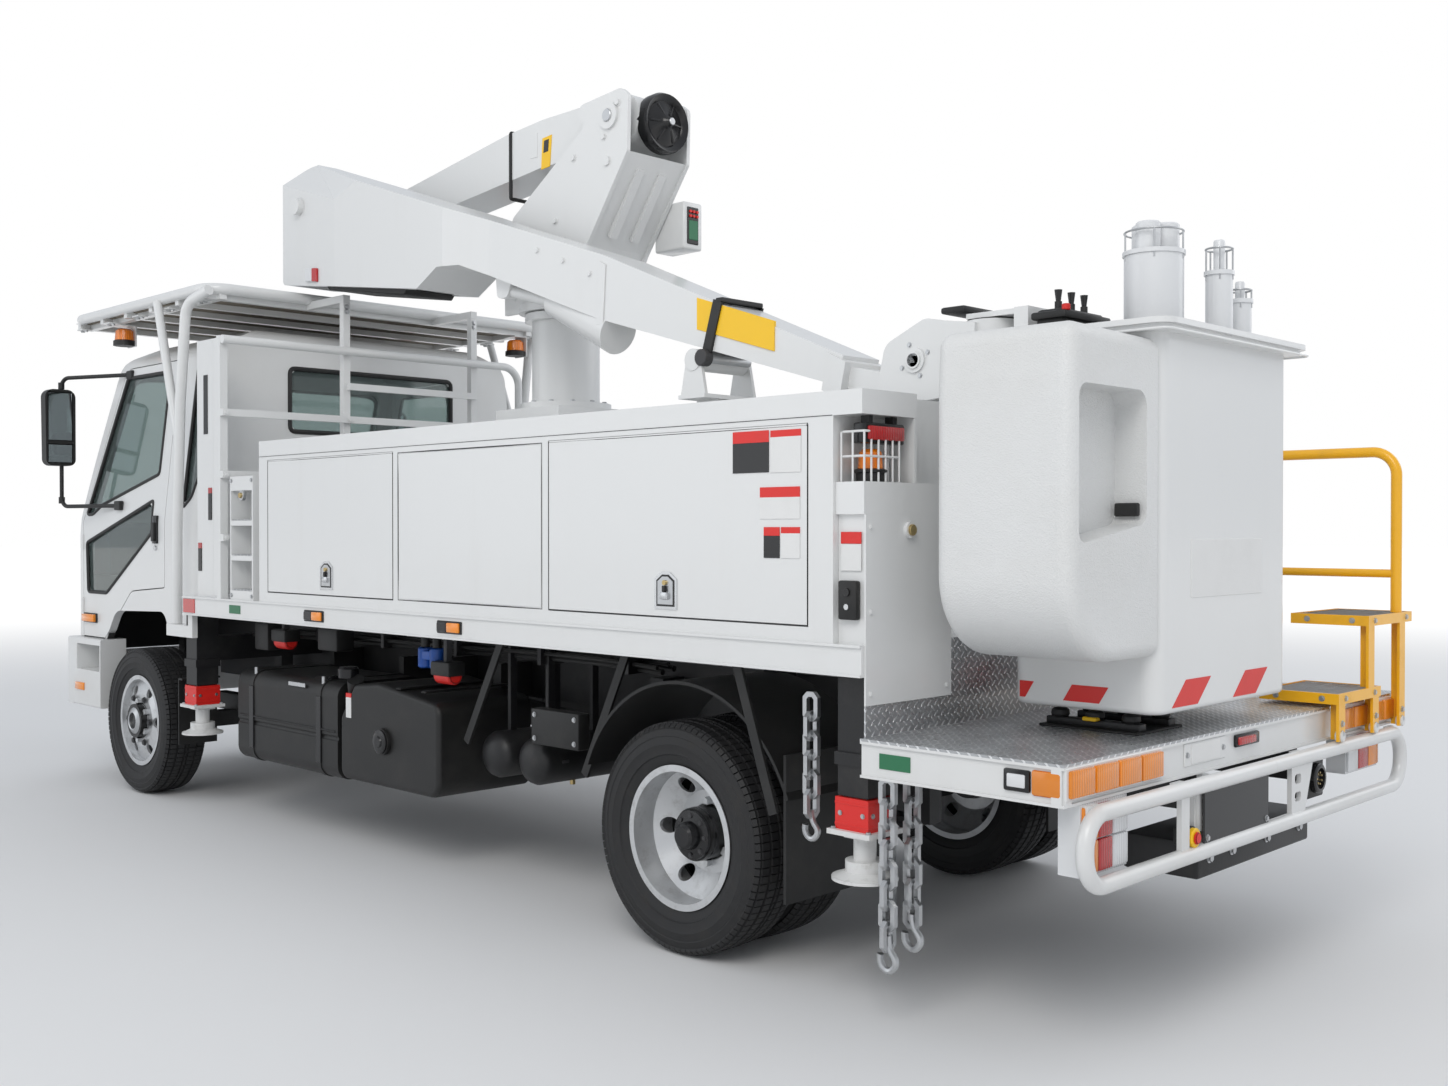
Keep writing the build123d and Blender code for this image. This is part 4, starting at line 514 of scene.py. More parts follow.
class Piece:
    """A piece being modelled: its solids are added one by one, then joined and put on a body."""

    def __init__(self, name, body, slot):
        """An empty piece, with its name, its body and its slot."""
        self.name = name
        self.body = body
        self.slot = slot
        self.solids = []

    def keep(self, finish, bevel=0.0, segments=1):
        """Takes the new object as a solid of the piece, with its finish and rounded edges."""
        solid = bpy.context.object
        if bevel:
            bpy.ops.object.transform_apply(location=False, rotation=False, scale=True)
            edit(lambda: bpy.ops.mesh.bevel(offset=bevel, segments=segments, affect="EDGES"))
        solid.data.materials.clear()
        solid.data.materials.append(finishes[finish])
        self.solids.append(solid)
        return solid

    def box(self, low, high, finish, bevel=0.003, turn=(0, 0, 0), segments=1):
        """A box between two corners, with its edges bevelled."""
        low, high = Vector(low), Vector(high)
        bpy.ops.mesh.primitive_cube_add(size=1, location=(low + high) / 2, scale=high - low, rotation=turn)
        return self.keep(finish, bevel, segments)

    def rod(self, start, end, radius, finish, tip=None, sides=24, bevel=0.0):
        """A round bar between two points, or a cone where the tip has another radius."""
        start, end = Vector(start), Vector(end)
        run = end - start
        bpy.ops.mesh.primitive_cone_add(
            vertices=sides, radius1=radius, radius2=radius if tip is None else tip, depth=run.length,
            location=(start + end) / 2, rotation=run.to_track_quat("Z", "Y").to_euler())
        return self.keep(finish, bevel)

    def bolt(self, place, way, finish="zinc", size=None):
        """A hexagon bolt head on its washer, standing out along a direction."""
        radius = size or bpy.context.scene.trim_sizes.bolt
        place, way = Vector(place), Vector(way)
        self.rod(place - way * 0.002, place + way * 0.002, radius * 1.35, finish, sides=16)
        return self.rod(place, place + way * radius * 0.8, radius, finish, sides=6)

    def tube(self, points, radius, finish, closed=False, order=3):
        """A tube along a smooth line, or along straight runs with order 2."""
        data = bpy.data.curves.new(self.name, "CURVE")
        data.dimensions = "3D"
        spline = data.splines.new("NURBS")
        spline.points.add(len(points) - 1)
        for point, place in zip(spline.points, points):
            point.co = (*place, 1)
        spline.use_cyclic_u = closed
        spline.order_u = order
        spline.use_endpoint_u = not closed
        data.resolution_u = 4
        data.bevel_depth = radius
        data.bevel_resolution = 2
        data.use_fill_caps = True
        line = bpy.data.objects.new(self.name, data)
        bpy.context.scene.collection.objects.link(line)
        bpy.ops.object.select_all(action="DESELECT")
        line.select_set(True)
        bpy.context.view_layer.objects.active = line
        bpy.ops.object.convert(target="MESH")
        return self.keep(finish)

    def plate(self, axis, low, high, points, finish, bevel=0.0):
        """A plate of an outline that lies across an axis, between two places on it."""
        mesh = bpy.data.meshes.new(self.name)
        order = {"X": (2, 0, 1), "Y": (0, 2, 1), "Z": (0, 1, 2)}[axis]
        corners = [tuple((*point, low)[index] for index in order) for point in points]
        mesh.from_pydata(corners, [], [range(len(corners))])
        show(mesh, self.name)
        way = Vector((axis == "X", axis == "Y", axis == "Z")) * (high - low)
        edit(lambda: bpy.ops.mesh.extrude_region_move(TRANSFORM_OT_translate={"value": way}))
        edit(lambda: bpy.ops.mesh.normals_make_consistent(inside=False))
        return self.keep(finish, bevel)

    def lathe(self, centre, axis, profile, finish, steps=32, closed=False):
        """A profile of (along, radius) points spun about an axis through a centre."""
        mesh = bpy.data.meshes.new(self.name)
        along = Vector((axis == "X", axis == "Y", axis == "Z"))
        out = Vector((1, 0, 0) if axis == "Z" else (0, 0, 1))
        corners = [Vector(centre) + along * place + out * radius for place, radius in profile]
        edges = [(index, index + 1) for index in range(len(corners) - 1)]
        if closed:
            edges.append((len(corners) - 1, 0))
        mesh.from_pydata(corners, edges, [])
        show(mesh, self.name)
        edit(lambda: bpy.ops.mesh.spin(steps=steps, angle=math.tau, center=centre, axis=along))
        edit(lambda: bpy.ops.mesh.remove_doubles(threshold=0.00002))
        edit(lambda: bpy.ops.mesh.normals_make_consistent(inside=False))
        return self.keep(finish)

    def done(self, mirror=False, replaces=()):
        """Joins the solids at the origin and puts the piece on its body."""
        piece = bpy.data.objects.new(self.name, bpy.data.meshes.new(self.name))
        bpy.context.scene.collection.objects.link(piece)
        bpy.ops.object.select_all(action="DESELECT")
        for solid in (*self.solids, piece):
            solid.select_set(True)
        bpy.context.view_layer.objects.active = piece
        bpy.ops.object.join()
        if mirror:
            bpy.ops.object.modifier_add(type="MIRROR")
            piece.modifiers[-1].use_mirror_merge = False
            bpy.ops.object.modifier_apply(modifier=piece.modifiers[-1].name)
        bpy.ops.object.shade_smooth_by_angle(angle=math.radians(35))
        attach(piece, self.body)
        if replaces:
            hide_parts(*replaces)


def edit(action):
    """Runs an edit-mode action on the whole active mesh."""
    bpy.ops.object.mode_set(mode="EDIT")
    bpy.ops.mesh.select_all(action="SELECT")
    action()
    bpy.ops.object.mode_set(mode="OBJECT")


def show(mesh, name):
    """Puts a mesh in the scene as the active object."""
    made = bpy.data.objects.new(name, mesh)
    bpy.context.scene.collection.objects.link(made)
    bpy.ops.object.select_all(action="DESELECT")
    made.select_set(True)
    bpy.context.view_layer.objects.active = made


def circle(radius, count, start=0.0):
    """Evenly spaced points round a circle, from a first angle."""
    turns = [start + math.tau * index / count for index in range(count)]
    return [(radius * math.cos(turn), radius * math.sin(turn)) for turn in turns]


def cornered(points, radius):
    """Points for a closed smooth line that keeps its runs straight and rounds its corners."""
    line = []
    for index, point in enumerate(points):
        here = Vector(point)
        before = (Vector(points[index - 1]) - here).normalized() * radius
        after = (Vector(points[(index + 1) % len(points)]) - here).normalized() * radius
        line += [here + before, here, here + after]
    return line


class TRUCK_OT_finishes(bpy.types.Operator):
    """Gives the frame's nodes their finishes, all but the tyres, which are replaced."""

    bl_idname = "truck.finishes"
    bl_label = "Finishes"

    def execute(self, context):
        fill_finishes(context.scene.truck_colours)
        for finish, names in node_finishes.items():
            for name in names:
                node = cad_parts[name]
                node.data.materials.clear()
                node.data.materials.append(finishes[finish])
        return {"FINISHED"}


class TRUCK_OT_tyres(bpy.types.Operator):
    """Treaded tyres with ribbed side walls, in place of the plain ones."""

    bl_idname = "truck.tyres"
    bl_label = "Tyres"

    def execute(self, context):
        half = context.scene.trim_sizes.tyre_width / 2
        for side in ("left", "right"):
            for node, body in (
                (f"front_tyre_{side}", f"front_wheel_{side}"),
                (f"rear_tyres_{side}", f"rear_wheels_{side}"),
            ):
                low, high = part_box(node)
                piece = Piece(f"treaded_{node}", body, "tyre_rubber")
                twin = high.x - low.x > 3 * half
                centres = (low.x + half, high.x - half) if twin else ((low.x + high.x) / 2,)
                for x in centres:
                    self.tyre(piece, (x, (low.y + high.y) / 2, wheel_radius), half)
                piece.done(replaces=(node,))
        return {"FINISHED"}

    def tyre(self, piece, centre, half):
        """One tyre: a section with grooves and rings, whose tread is raised into blocks."""
        sizes = bpy.context.scene.trim_sizes
        depth = sizes.tread_depth
        crown = wheel_radius - depth
        tread = [(half * 0.80, crown - 0.004), (half * 0.50, crown - 0.001), (half * 0.42, crown - 0.001),
                 (half * 0.12, crown), (half * 0.05, crown)]
        wall = [(half * 0.93, wheel_radius - 0.030), (half * 0.985, 0.366), (half * 0.965, 0.362),
                (half, 0.335), (half * 0.98, 0.331), (half * 0.95, 0.300), (half * 0.90, 0.296),
                (half * 0.82, 0.268), (half * 0.70, 0.2495)]
        right = list(reversed(tread)) + wall
        left = [(-across, radius) for across, radius in reversed(right)]
        solid = piece.lathe(centre, "X", left + right, "rubber", sizes.tread_blocks, closed=True)
        mesh = solid.data
        ribs = []
        for face in mesh.polygons:
            x = abs(face.center.x - centre[0]) / half
            radius = math.hypot(face.center.y - centre[1], face.center.z - centre[2])
            wide = x < 0.04 or 0.14 < x < 0.40 or 0.52 < x < 0.92
            ribs.append(wide and radius > crown - 0.02)
        for face, chosen in zip(mesh.polygons, ribs):
            face.select = chosen
        bpy.context.tool_settings.mesh_select_mode = (False, False, True)
        bpy.ops.object.mode_set(mode="EDIT")
        bpy.ops.mesh.inset(thickness=0.0022, depth=depth - 0.0012, use_individual=True)
        bpy.ops.object.mode_set(mode="OBJECT")
        bpy.context.tool_settings.mesh_select_mode = (True, False, False)


class TRUCK_OT_hubs(bpy.types.Operator):
    """Hub caps and wheel nuts."""

    bl_idname = "truck.hubs"
    bl_label = "Hubs"

    def execute(self, context):
        for side, sign in sides:
            low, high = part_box(f"front_rim_{side}")
            face = high.x if sign > 0 else low.x
            piece = Piece(f"front_hub_cap_{side}", f"front_wheel_{side}", "rim_silver")
            centre = (face - sign * 0.02, front_axle_y, wheel_radius)
            piece.lathe(centre, "X", [(0.030 * sign, 0.046), (0.034 * sign, 0.052), (0.022 * sign, 0.074),
                                      (0.004 * sign, 0.086), (-0.02 * sign, 0.0975), (-0.03 * sign, 0.0975),
                                      (-0.03 * sign, 0.046)], "front_disc", 40, closed=True)
            piece.lathe(centre, "X", [(0.022 * sign, 0), (0.020 * sign, 0.020), (0.012 * sign, 0.046),
                                      (-0.03 * sign, 0.046), (-0.03 * sign, 0)], "gloss_black", 40)
            self.ring(piece, centre, sign, 0.140, 6, 0.014, -0.012)
            piece.done()
            face = sign * 0.992
            piece = Piece(f"rear_hub_cap_{side}", f"rear_wheels_{side}", "rim_silver")
            centre = (face, rear_axle_y, wheel_radius)
            piece.lathe(centre, "X", [(0.060 * sign, 0), (0.060 * sign, 0.036), (0.052 * sign, 0.046),
                                      (0.018 * sign, 0.052), (0.012 * sign, 0.088), (-0.02 * sign, 0.0975),
                                      (-0.03 * sign, 0.0975), (-0.03 * sign, 0)], "gloss_black", 40)
            self.ring(piece, centre, sign, 0.071, 8, 0.009, 0.016)
            piece.done()
        return {"FINISHED"}

    def ring(self, piece, centre, sign, radius, count, size, out):
        """A ring of bolts on a hub's face."""
        x, y, z = centre
        for along, up in circle(radius, count):
            piece.bolt((x + sign * out * 0.8, y + along, z + up), (sign, 0, 0), "cast", size)


def cab_side(z):
    """How far out the cab's side is at a height."""
    return 1.050 if z < 1.56 else 1.050 - 0.100 * (z - 1.56) / 0.97


class TRUCK_OT_window_seals(bpy.types.Operator):
    """Black rubber round the cab's windows."""

    bl_idname = "truck.window_seals"
    bl_label = "Window seals"

    def execute(self, context):
        radius = context.scene.trim_sizes.seal
        front = cab_front + 0.165
        main = ((front + 0.055, 1.612), (front + 0.140, 1.613), (front + 0.276, 1.672),
                (front + 1.030, 1.838), (front + 1.048, 2.428), (front + 0.463, 2.431))
        low = ((front + 0.057, 1.440), (front + 0.985, 1.688), (front + 0.985, 1.500),
               (front + 0.351, 1.136), (front + 0.075, 1.136))
        rear = cab_front + 1.810
        quarter = ((rear - 0.275, 1.640), (rear - 0.180, 1.700), (rear - 0.066, 1.900),
                   (rear - 0.066, 2.480), (rear - 0.245, 2.480))
        for side, sign in sides:
            piece = Piece(f"door_seals_{side}", f"cab_door_{side}", "black_plastic")
            for outline in (main, low):
                self.seal(piece, outline, sign, radius)
            piece.done()
            piece = Piece(f"quarter_seal_{side}", "truck", "black_plastic")
            self.seal(piece, quarter, sign, radius)
            piece.done()
        piece = Piece("screen_seals", "truck", "black_plastic")
        foot_y, foot_z = -3.588, 1.590
        slope = (-3.130 - foot_y) / (2.480 - foot_z)
        screen = ((-0.930, 1.640), (0.930, 1.640), (0.855, 2.450), (-0.855, 2.450))
        points = [(x, foot_y + slope * (z - foot_z) - 0.002 + 0.020 * abs(x) ** 4, z)
                  for x, z in self.split(screen, 6)]
        piece.tube(points, radius * 1.3, "seal", closed=True)
        window = ((-0.543, 2.075), (0.543, 2.075), (0.543, 2.433), (-0.543, 2.433))
        points = cornered([(x, rear - 0.003, z) for x, z in window], 0.07)
        piece.tube(points, radius * 1.3, "seal", closed=True)
        piece.done()
        return {"FINISHED"}

    def split(self, outline, count):
        """An outline's corners with more points between them."""
        points = []
        for index, start in enumerate(outline):
            end = outline[(index + 1) % len(outline)]
            points += [tuple(a + (b - a) * step / count for a, b in zip(start, end)) for step in range(count)]
        return points

    def seal(self, piece, outline, sign, radius):
        """The rubber round one side window."""
        points = [(sign * (cab_side(z) - 0.002), y, z) for y, z in outline]
        piece.tube(cornered(points, 0.05), radius, "seal", closed=True)


class TRUCK_OT_cab_trim(bpy.types.Operator):
    """Door handles, indicators, wipers, blank number plate and front lamps."""

    bl_idname = "truck.cab_trim"
    bl_label = "Cab trim"

    def execute(self, context):
        front = cab_front
        for side, sign in sides:
            piece = Piece(f"door_trim_{side}", f"cab_door_{side}", "black_plastic")
            x = sign * 1.050
            self.side_box(piece, x, sign, (-2.435, -2.375), (1.440, 1.600), 0.012, "gloss_black")
            self.side_box(piece, x + sign * 0.010, sign, (-2.424, -2.386), (1.452, 1.560), 0.014, "plastic")
            piece.rod((x, -2.405, 1.415), (x + sign * 0.010, -2.405, 1.415), 0.014, "steel")
            piece.done()
            piece = Piece(f"side_indicator_{side}", f"cab_door_{side}", "lamp_lens")
            self.side_box(piece, x, sign, (-3.425, -3.232), (0.948, 1.006), 0.010, "plastic")
            self.side_box(piece, x + sign * 0.008, sign, (-3.418, -3.240), (0.954, 1.000), 0.018, "amber")
            piece.done()
        piece = Piece("front_trim", "truck", "black_plastic")
        for x in (-0.62, 0.10):
            tip = (x + 0.55, front + 0.050, 1.660)
            piece.rod((x, front + 0.020, 1.600), (x, front - 0.030, 1.610), 0.022, "plastic")
            piece.tube([(x, front - 0.020, 1.612), (x + 0.26, front - 0.006, 1.640), tip], 0.008, "plastic")
            piece.box((x + 0.02, front + 0.012, 1.652), (x + 0.62, front + 0.022, 1.672), "seal", 0.003)
        piece.box((-0.255, -3.648, 0.528), (0.255, -3.640, 0.632), "label", 0.002)
        for x in (-0.20, 0.20):
            piece.bolt((x, -3.647, 0.618), (0, -1, 0), "zinc", 0.007)
        for x in (-0.45, 0.45):
            piece.box((x - 0.05, front - 0.012, 1.225), (x + 0.05, front + 0.01, 1.262), "plastic", 0.004)
        piece.done()
        piece = Piece("front_lamps", "truck", "lamp_lens")
        head = [(0, 0), (-0.006, 0.03), (-0.008, 0.055), (-0.003, 0.064), (0.01, 0.066), (0.01, 0)]
        indicator = [(0, 0), (-0.008, 0.02), (-0.006, 0.036), (0.012, 0.040), (0.012, 0)]
        fog = [(-0.006, 0), (-0.008, 0.035), (-0.004, 0.048), (0.02, 0.052), (0.02, 0)]
        for sign in (1, -1):
            piece.lathe((sign * 0.760, front - 0.026, 0.955), "Y", head, "clear", 36)
            piece.lathe((sign * 0.905, front - 0.022, 0.960), "Y", indicator, "amber", 30)
            self.side_box(piece, sign * 1.105, sign, (-3.428, -3.297), (0.536, 0.582), 0.008, "amber")
            piece.lathe((sign * 0.70, -3.640, 0.560), "Y", fog, "clear", 30)
        piece.done()
        return {"FINISHED"}

    def side_box(self, piece, x, sign, y, z, out, finish):
        """A bevelled box that stands out of a side of the cab."""
        low, high = sorted((x - sign * 0.004, x + sign * out))
        piece.box((low, y[0], z[0]), (high, y[1], z[1]), finish, 0.004, segments=2)


class TRUCK_OT_mirror_trim(bpy.types.Operator):
    """Mirror glasses and the clamps and feet of the mirrors' arms."""

    bl_idname = "truck.mirror_trim"
    bl_label = "Mirror trim"

    def execute(self, context):
        for side, sign in sides:
            glass_x, arm_x = sign * 1.190, sign * 1.170
            roof_x, door_x = sign * 0.956, sign * 1.052
            y = cab_front + 0.140
            piece = Piece(f"mirror_glass_{side}", f"cab_door_{side}", "black_plastic")
            for z0, z1 in ((2.066, 2.362), (1.930, 2.044)):
                piece.box((glass_x - 0.073, y + 0.024, z0), (glass_x + 0.073, y + 0.034, z1), "mirror", 0.004)
            for z in (2.01, 2.28):
                piece.box((arm_x - 0.022, y - 0.048, z - 0.03), (arm_x + 0.022, y - 0.008, z + 0.03),
                          "plastic", 0.006, segments=2)
            for z in (1.700, 2.405):
                piece.rod((arm_x, y, z - 0.02), (arm_x, y, z + 0.02), 0.018, "seal", sides=20)
            piece.box((roof_x - 0.018, y + 0.48, 2.425), (roof_x + 0.018, y + 0.56, 2.475), "plastic", 0.006)
            piece.box((door_x - 0.014, y + 0.52, 1.635), (door_x + 0.014, y + 0.60, 1.690), "plastic", 0.005)
            piece.done()
        return {"FINISHED"}


class TRUCK_OT_rack_trim(bpy.types.Operator):
    """Beacons, plates, bolts and the sheet under the roof rack, darkened as painted shade."""

    bl_idname = "truck.rack_trim"
    bl_label = "Rack trim"

    def execute(self, context):
        # The sheet's brown is darkened to paint the shade under the rack.
        piece = Piece("shaded_rack_sheet", "truck", "white_paint")
        piece.box((-1.060, -3.40, 2.7800), (1.060, -1.66, 2.7856), "ply", 0.001)
        piece.done()
        piece = Piece("beacons", "truck", "lamp_lens")
        for x, y, z in ((0.98, -2.99, 2.740), (-0.98, -1.72, 2.740), (-0.98, -2.99, 2.740)):
            self.beacon(piece, (x, y, z), context.scene.trim_sizes.beacon)
        piece.done()
        piece = Piece("rack_bolts", "truck", "white_paint")
        for y in (-3.35, -2.95, -2.55, -2.15, -1.75):
            for x in (1.075, -1.075):
                piece.box((x - 0.03, y - 0.04, 2.742), (x + 0.03, y + 0.04, 2.750), "white", 0.002)
                for shift in (-0.024, 0.024):
                    piece.bolt((x, y + shift, 2.742), (0, 0, -1))
        for x in (0.5, -0.333):
            for z in (2.700, 2.725):
                piece.bolt((x, -1.259, z), (0, 1, 0))
        piece.done()
        return {"FINISHED"}

    def beacon(self, piece, top, radius):
        """An amber beacon that hangs from a bracket."""
        x, y, z = top
        piece.box((x - 0.05, y - 0.06, z), (x + 0.05, y + 0.06, z + 0.010), "white", 0.002)
        piece.box((x - 0.05, y - 0.06, z - 0.12), (x - 0.042, y + 0.06, z + 0.002), "white", 0.002)
        centre = (x, y, z - 0.115)
        foot = [(0, 0), (0, radius * 1.15), (0.028, radius * 1.15), (0.034, radius), (0.034, 0)]
        dome = [(0.034, 0), (0.034, radius), (0.088, radius * 0.92), (0.100, radius * 0.7), (0.104, 0)]
        piece.lathe(centre, "Z", foot, "plastic", 32)
        piece.lathe(centre, "Z", dome, "orange", 32)


class TRUCK_OT_guard_trim(bpy.types.Operator):
    """Reflector strips, boss, treads and bolts of the headboard guard and its step box."""

    bl_idname = "truck.guard_trim"
    bl_label = "Guard trim"

    def execute(self, context):
        piece = Piece("guard_reflectors", "truck", "lamp_lens")
        for y, low, high in ((-1.519, 1.570, 1.739), (-1.636, 1.302, 1.451)):
            piece.box((1.148, y - 0.019, low), (1.154, y + 0.019, high - 0.030), "gloss_black", 0.001)
            piece.box((1.148, y - 0.019, high - 0.030), (1.154, y + 0.019, high), "red_lens", 0.001)
        piece.box((1.148, -1.590, 2.020), (1.153, -1.545, 2.330), "gloss_black", 0.001)
        piece.done()
        piece = Piece("step_box_trim", "truck", "white_paint")
        piece.rod((1.195, -1.060, 1.690), (1.214, -1.060, 1.690), 0.026, "zinc", sides=32, bevel=0.002)
        piece.rod((1.195, -1.060, 1.690), (1.222, -1.060, 1.690), 0.014, "brass", bevel=0.002)
        for low in (1.215, 1.390, 1.565):
            piece.box((1.100, -1.184, low + 0.0005), (1.196, -0.974, low + 0.006), "chequer", 0.001)
        for z in (1.190, 1.765):
            for y in (-1.185, -0.975):
                piece.bolt((1.200, y, z), (1, 0, 0), size=0.008)
        for x in (1.202, 0.500, -0.333):
            for z in (1.480, 1.800, 2.114):
                piece.bolt((x, -1.2295, z), (0, 1, 0), "white", 0.012)
        piece.done()
        return {"FINISHED"}


class TRUCK_OT_rail_trim(bpy.types.Operator):
    """Side markers and plates along the tray's rails."""

    bl_idname = "truck.rail_trim"
    bl_label = "Rail trim"

    def execute(self, context):
        web = body_x - 0.008
        piece = Piece("side_markers", "truck", "lamp_lens")
        low, high = 1.101, 1.141
        for y in (-0.342, 0.740):
            piece.box((web - 0.002, y - 0.086, low - 0.006), (web + 0.006, y + 0.086, high + 0.006),
                      "plastic", 0.003)
            piece.box((web + 0.004, y - 0.006, low), (web + 0.016, y + 0.078, high), "amber", 0.005,
                      segments=2)
            piece.box((web + 0.004, y - 0.078, low), (web + 0.014, y - 0.010, high), "gloss_black", 0.004)
        piece.box((web - 0.001, -1.690, 1.085), (web + 0.004, -1.560, 1.157), "red_lens", 0.001)
        piece.done(mirror=True)
        piece = Piece("rail_plates", "truck", "white_paint")
        piece.box((web - 0.001, -1.175, 1.100), (web + 0.003, -1.060, 1.142), "green", 0.001)
        piece.done(mirror=True)
        return {"FINISHED"}


class TRUCK_OT_locker_trim(bpy.types.Operator):
    """Latches of the locker doors, black lines of painted shade in the gaps and under the rim, and blank
    plates on the left rear door.
    """

    bl_idname = "truck.locker_trim"
    bl_label = "Locker trim"

    def execute(self, context):
        for side, sign in sides:
            for end in ("front", "rear"):
                node = f"locker_door_{side}_{end}"
                low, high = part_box(node)
                y = (low.y + high.y) / 2
                piece = Piece(f"latch_{side}_{end}", node, "white_paint")
                self.latch(piece, sign, y, low.z + 0.024)
                piece.done()
        # Black lines along the door gaps paint the shade that falls in the gaps.
        piece = Piece("painted_gap_shade", "truck", "black_plastic")
        gap = 1.2135
        for y0, y1 in ((-0.782, 0.314), (0.355, 1.342), (1.383, 2.676)):
            corners = ((y0, 1.220), (y1, 1.220), (y1, 1.848), (y0, 1.848))
            piece.tube([(gap, y, z) for y, z in corners], 0.0026, "seal", closed=True, order=2)
        # Painted shadow: a thin black strip under the locker rim.
        piece.box((1.209, -0.868, 1.8715), (1.2165, 2.780, 1.8755), "seal")
        piece.done(mirror=True)
        piece = Piece("blank_plates_left", "locker_door_left_rear", "white_paint")
        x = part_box("locker_door_left_rear")[1].x - 0.0005
        for y0, y1, z0, z1, parts in (
            (2.352, 2.513, 1.705, 1.840, (("red", 0.72), ("gloss_black", 0.0))),
            (2.520, 2.650, 1.703, 1.838, (("red", 0.84), ("label", 0.0))),
            (2.474, 2.646, 1.555, 1.657, (("red", 0.68), ("label", 0.0))),
            (2.491, 2.560, 1.430, 1.529, (("red", 0.72), ("gloss_black", 0.0))),
            (2.566, 2.646, 1.430, 1.529, (("red", 0.80), ("label", 0.0))),
        ):
            top = z1
            for finish, share in parts:
                low = z0 + (z1 - z0) * share
                piece.box((x, y0, low), (x + 0.0022, y1, top), finish, 0.0004)
                top = low
        piece.done()
        return {"FINISHED"}

    def latch(self, piece, sign, y, low):
        """A paddle latch with a domed keeper in a steel dish."""
        x = sign * 1.201
        for half, inset, finish, out in (
            (0.056, 0.0, "steel", 0.0175),
            (0.045, 0.010, "gloss_black", 0.0185),
            (0.038, 0.017, "zinc", 0.0195),
        ):
            foot, shoulder, peak = low + inset, low + 0.105 - inset * 0.5, low + 0.130 - inset
            outline = [(y - half, foot), (y + half, foot), (y + half, shoulder), (y + half * 0.35, peak),
                       (y - half * 0.35, peak), (y - half, shoulder)]
            piece.plate("X", *sorted((x + sign * 0.0130, x + sign * out)), outline, finish)
        near, far = sorted((x + sign * 0.014, x + sign * 0.030))
        piece.box((near, y - 0.020, low + 0.034), (far, y + 0.020, low + 0.060), "steel", 0.005, segments=2)
        piece.box((near, y - 0.007, low + 0.060), (far, y + 0.007, low + 0.082), "gloss_black", 0.002)
        lock_z = low + 0.092
        piece.rod((x + sign * 0.016, y, lock_z), (x + sign * 0.026, y, lock_z), 0.009, "brass", sides=20)


class TRUCK_OT_rear_column_trim(bpy.types.Operator):
    """Cage with its beacon, lamp, black box, blank plates and bolts of the rear columns."""

    bl_idname = "truck.rear_column_trim"
    bl_label = "Rear column trim"

    def execute(self, context):
        piece = Piece("column_cage", "truck", "white_paint")
        z0, z1 = 1.670, 1.822
        corners = ((1.192, 2.795), (1.192, 2.885), (1.020, 2.885), (1.020, 2.795))
        for z in (z1, (z0 + z1) / 2):
            piece.tube(cornered([(x, y, z) for x, y in corners], 0.03), 0.004, "white", closed=True)
        for x in (1.192, 1.158, 1.123, 1.088, 1.053, 1.020):
            piece.rod((x, 2.885, z0 - 0.02), (x, 2.885, z1), 0.0035, "white", sides=10)
        for y in (2.795, 2.840):
            piece.rod((1.192, y, z0 - 0.02), (1.192, y, z1), 0.0035, "white", sides=10)
            piece.rod((1.020, y, z0 - 0.02), (1.020, y, z1), 0.0035, "white", sides=10)
        piece.done(mirror=True)
        piece = Piece("column_beacons", "truck", "lamp_lens")
        stand = [(0, 0), (0, 0.045), (0.095, 0.045), (0.098, 0.052), (0.106, 0.052), (0.110, 0.040),
                 (0.110, 0)]
        dome = [(0, 0), (0, 0.040), (0.050, 0.036), (0.060, 0.026), (0.063, 0)]
        piece.lathe((1.106, 2.840, 1.600), "Z", stand, "plastic", 32)
        piece.lathe((1.106, 2.840, 1.710), "Z", dome, "orange", 32)
        piece.done(mirror=True)
        piece = Piece("canopy_lamps", "truck", "lamp_lens")
        piece.box((0.985, 2.830, 1.786), (1.180, 2.880, 1.850), "gloss_black", 0.006, segments=2)
        piece.box((0.995, 2.876, 1.796), (1.170, 2.890, 1.840), "red_lens", 0.006, segments=2)
        for x in (1.02, 1.14):
            piece.box((x - 0.01, 2.835, 1.848), (x + 0.01, 2.870, 1.876), "plastic", 0.002)
        piece.done(mirror=True)
        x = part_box("rear_column")[1].x - 0.001
        piece = Piece("column_side_trim", "truck", "black_plastic")
        piece.box((x - 0.012, 2.800, 1.245), (x + 0.012, 2.872, 1.365), "plastic", 0.006, segments=2)
        piece.rod((x + 0.010, 2.836, 1.330), (x + 0.018, 2.836, 1.330), 0.013, "gloss_black")
        piece.rod((x + 0.010, 2.836, 1.285), (x + 0.016, 2.836, 1.285), 0.009, "steel")
        for z0, z1, finish in ((1.478, 1.514, "red"), (1.395, 1.477, "label")):
            piece.box((x - 0.011, 2.796, z0), (x - 0.008, 2.876, z1), finish, 0.0004)
        piece.done(mirror=True)
        piece = Piece("column_boss_trim", "truck", "white_paint")
        piece.rod((0.992, 2.912, 1.520), (0.992, 2.922, 1.520), 0.018, "brass", sides=28, bevel=0.002)
        for x0 in (0.79, 1.18):
            for z in (1.02, 1.27, 1.53):
                piece.bolt((x0, 2.902, z), (0, 1, 0), "white", 0.007)
        piece.done(mirror=True)
        return {"FINISHED"}


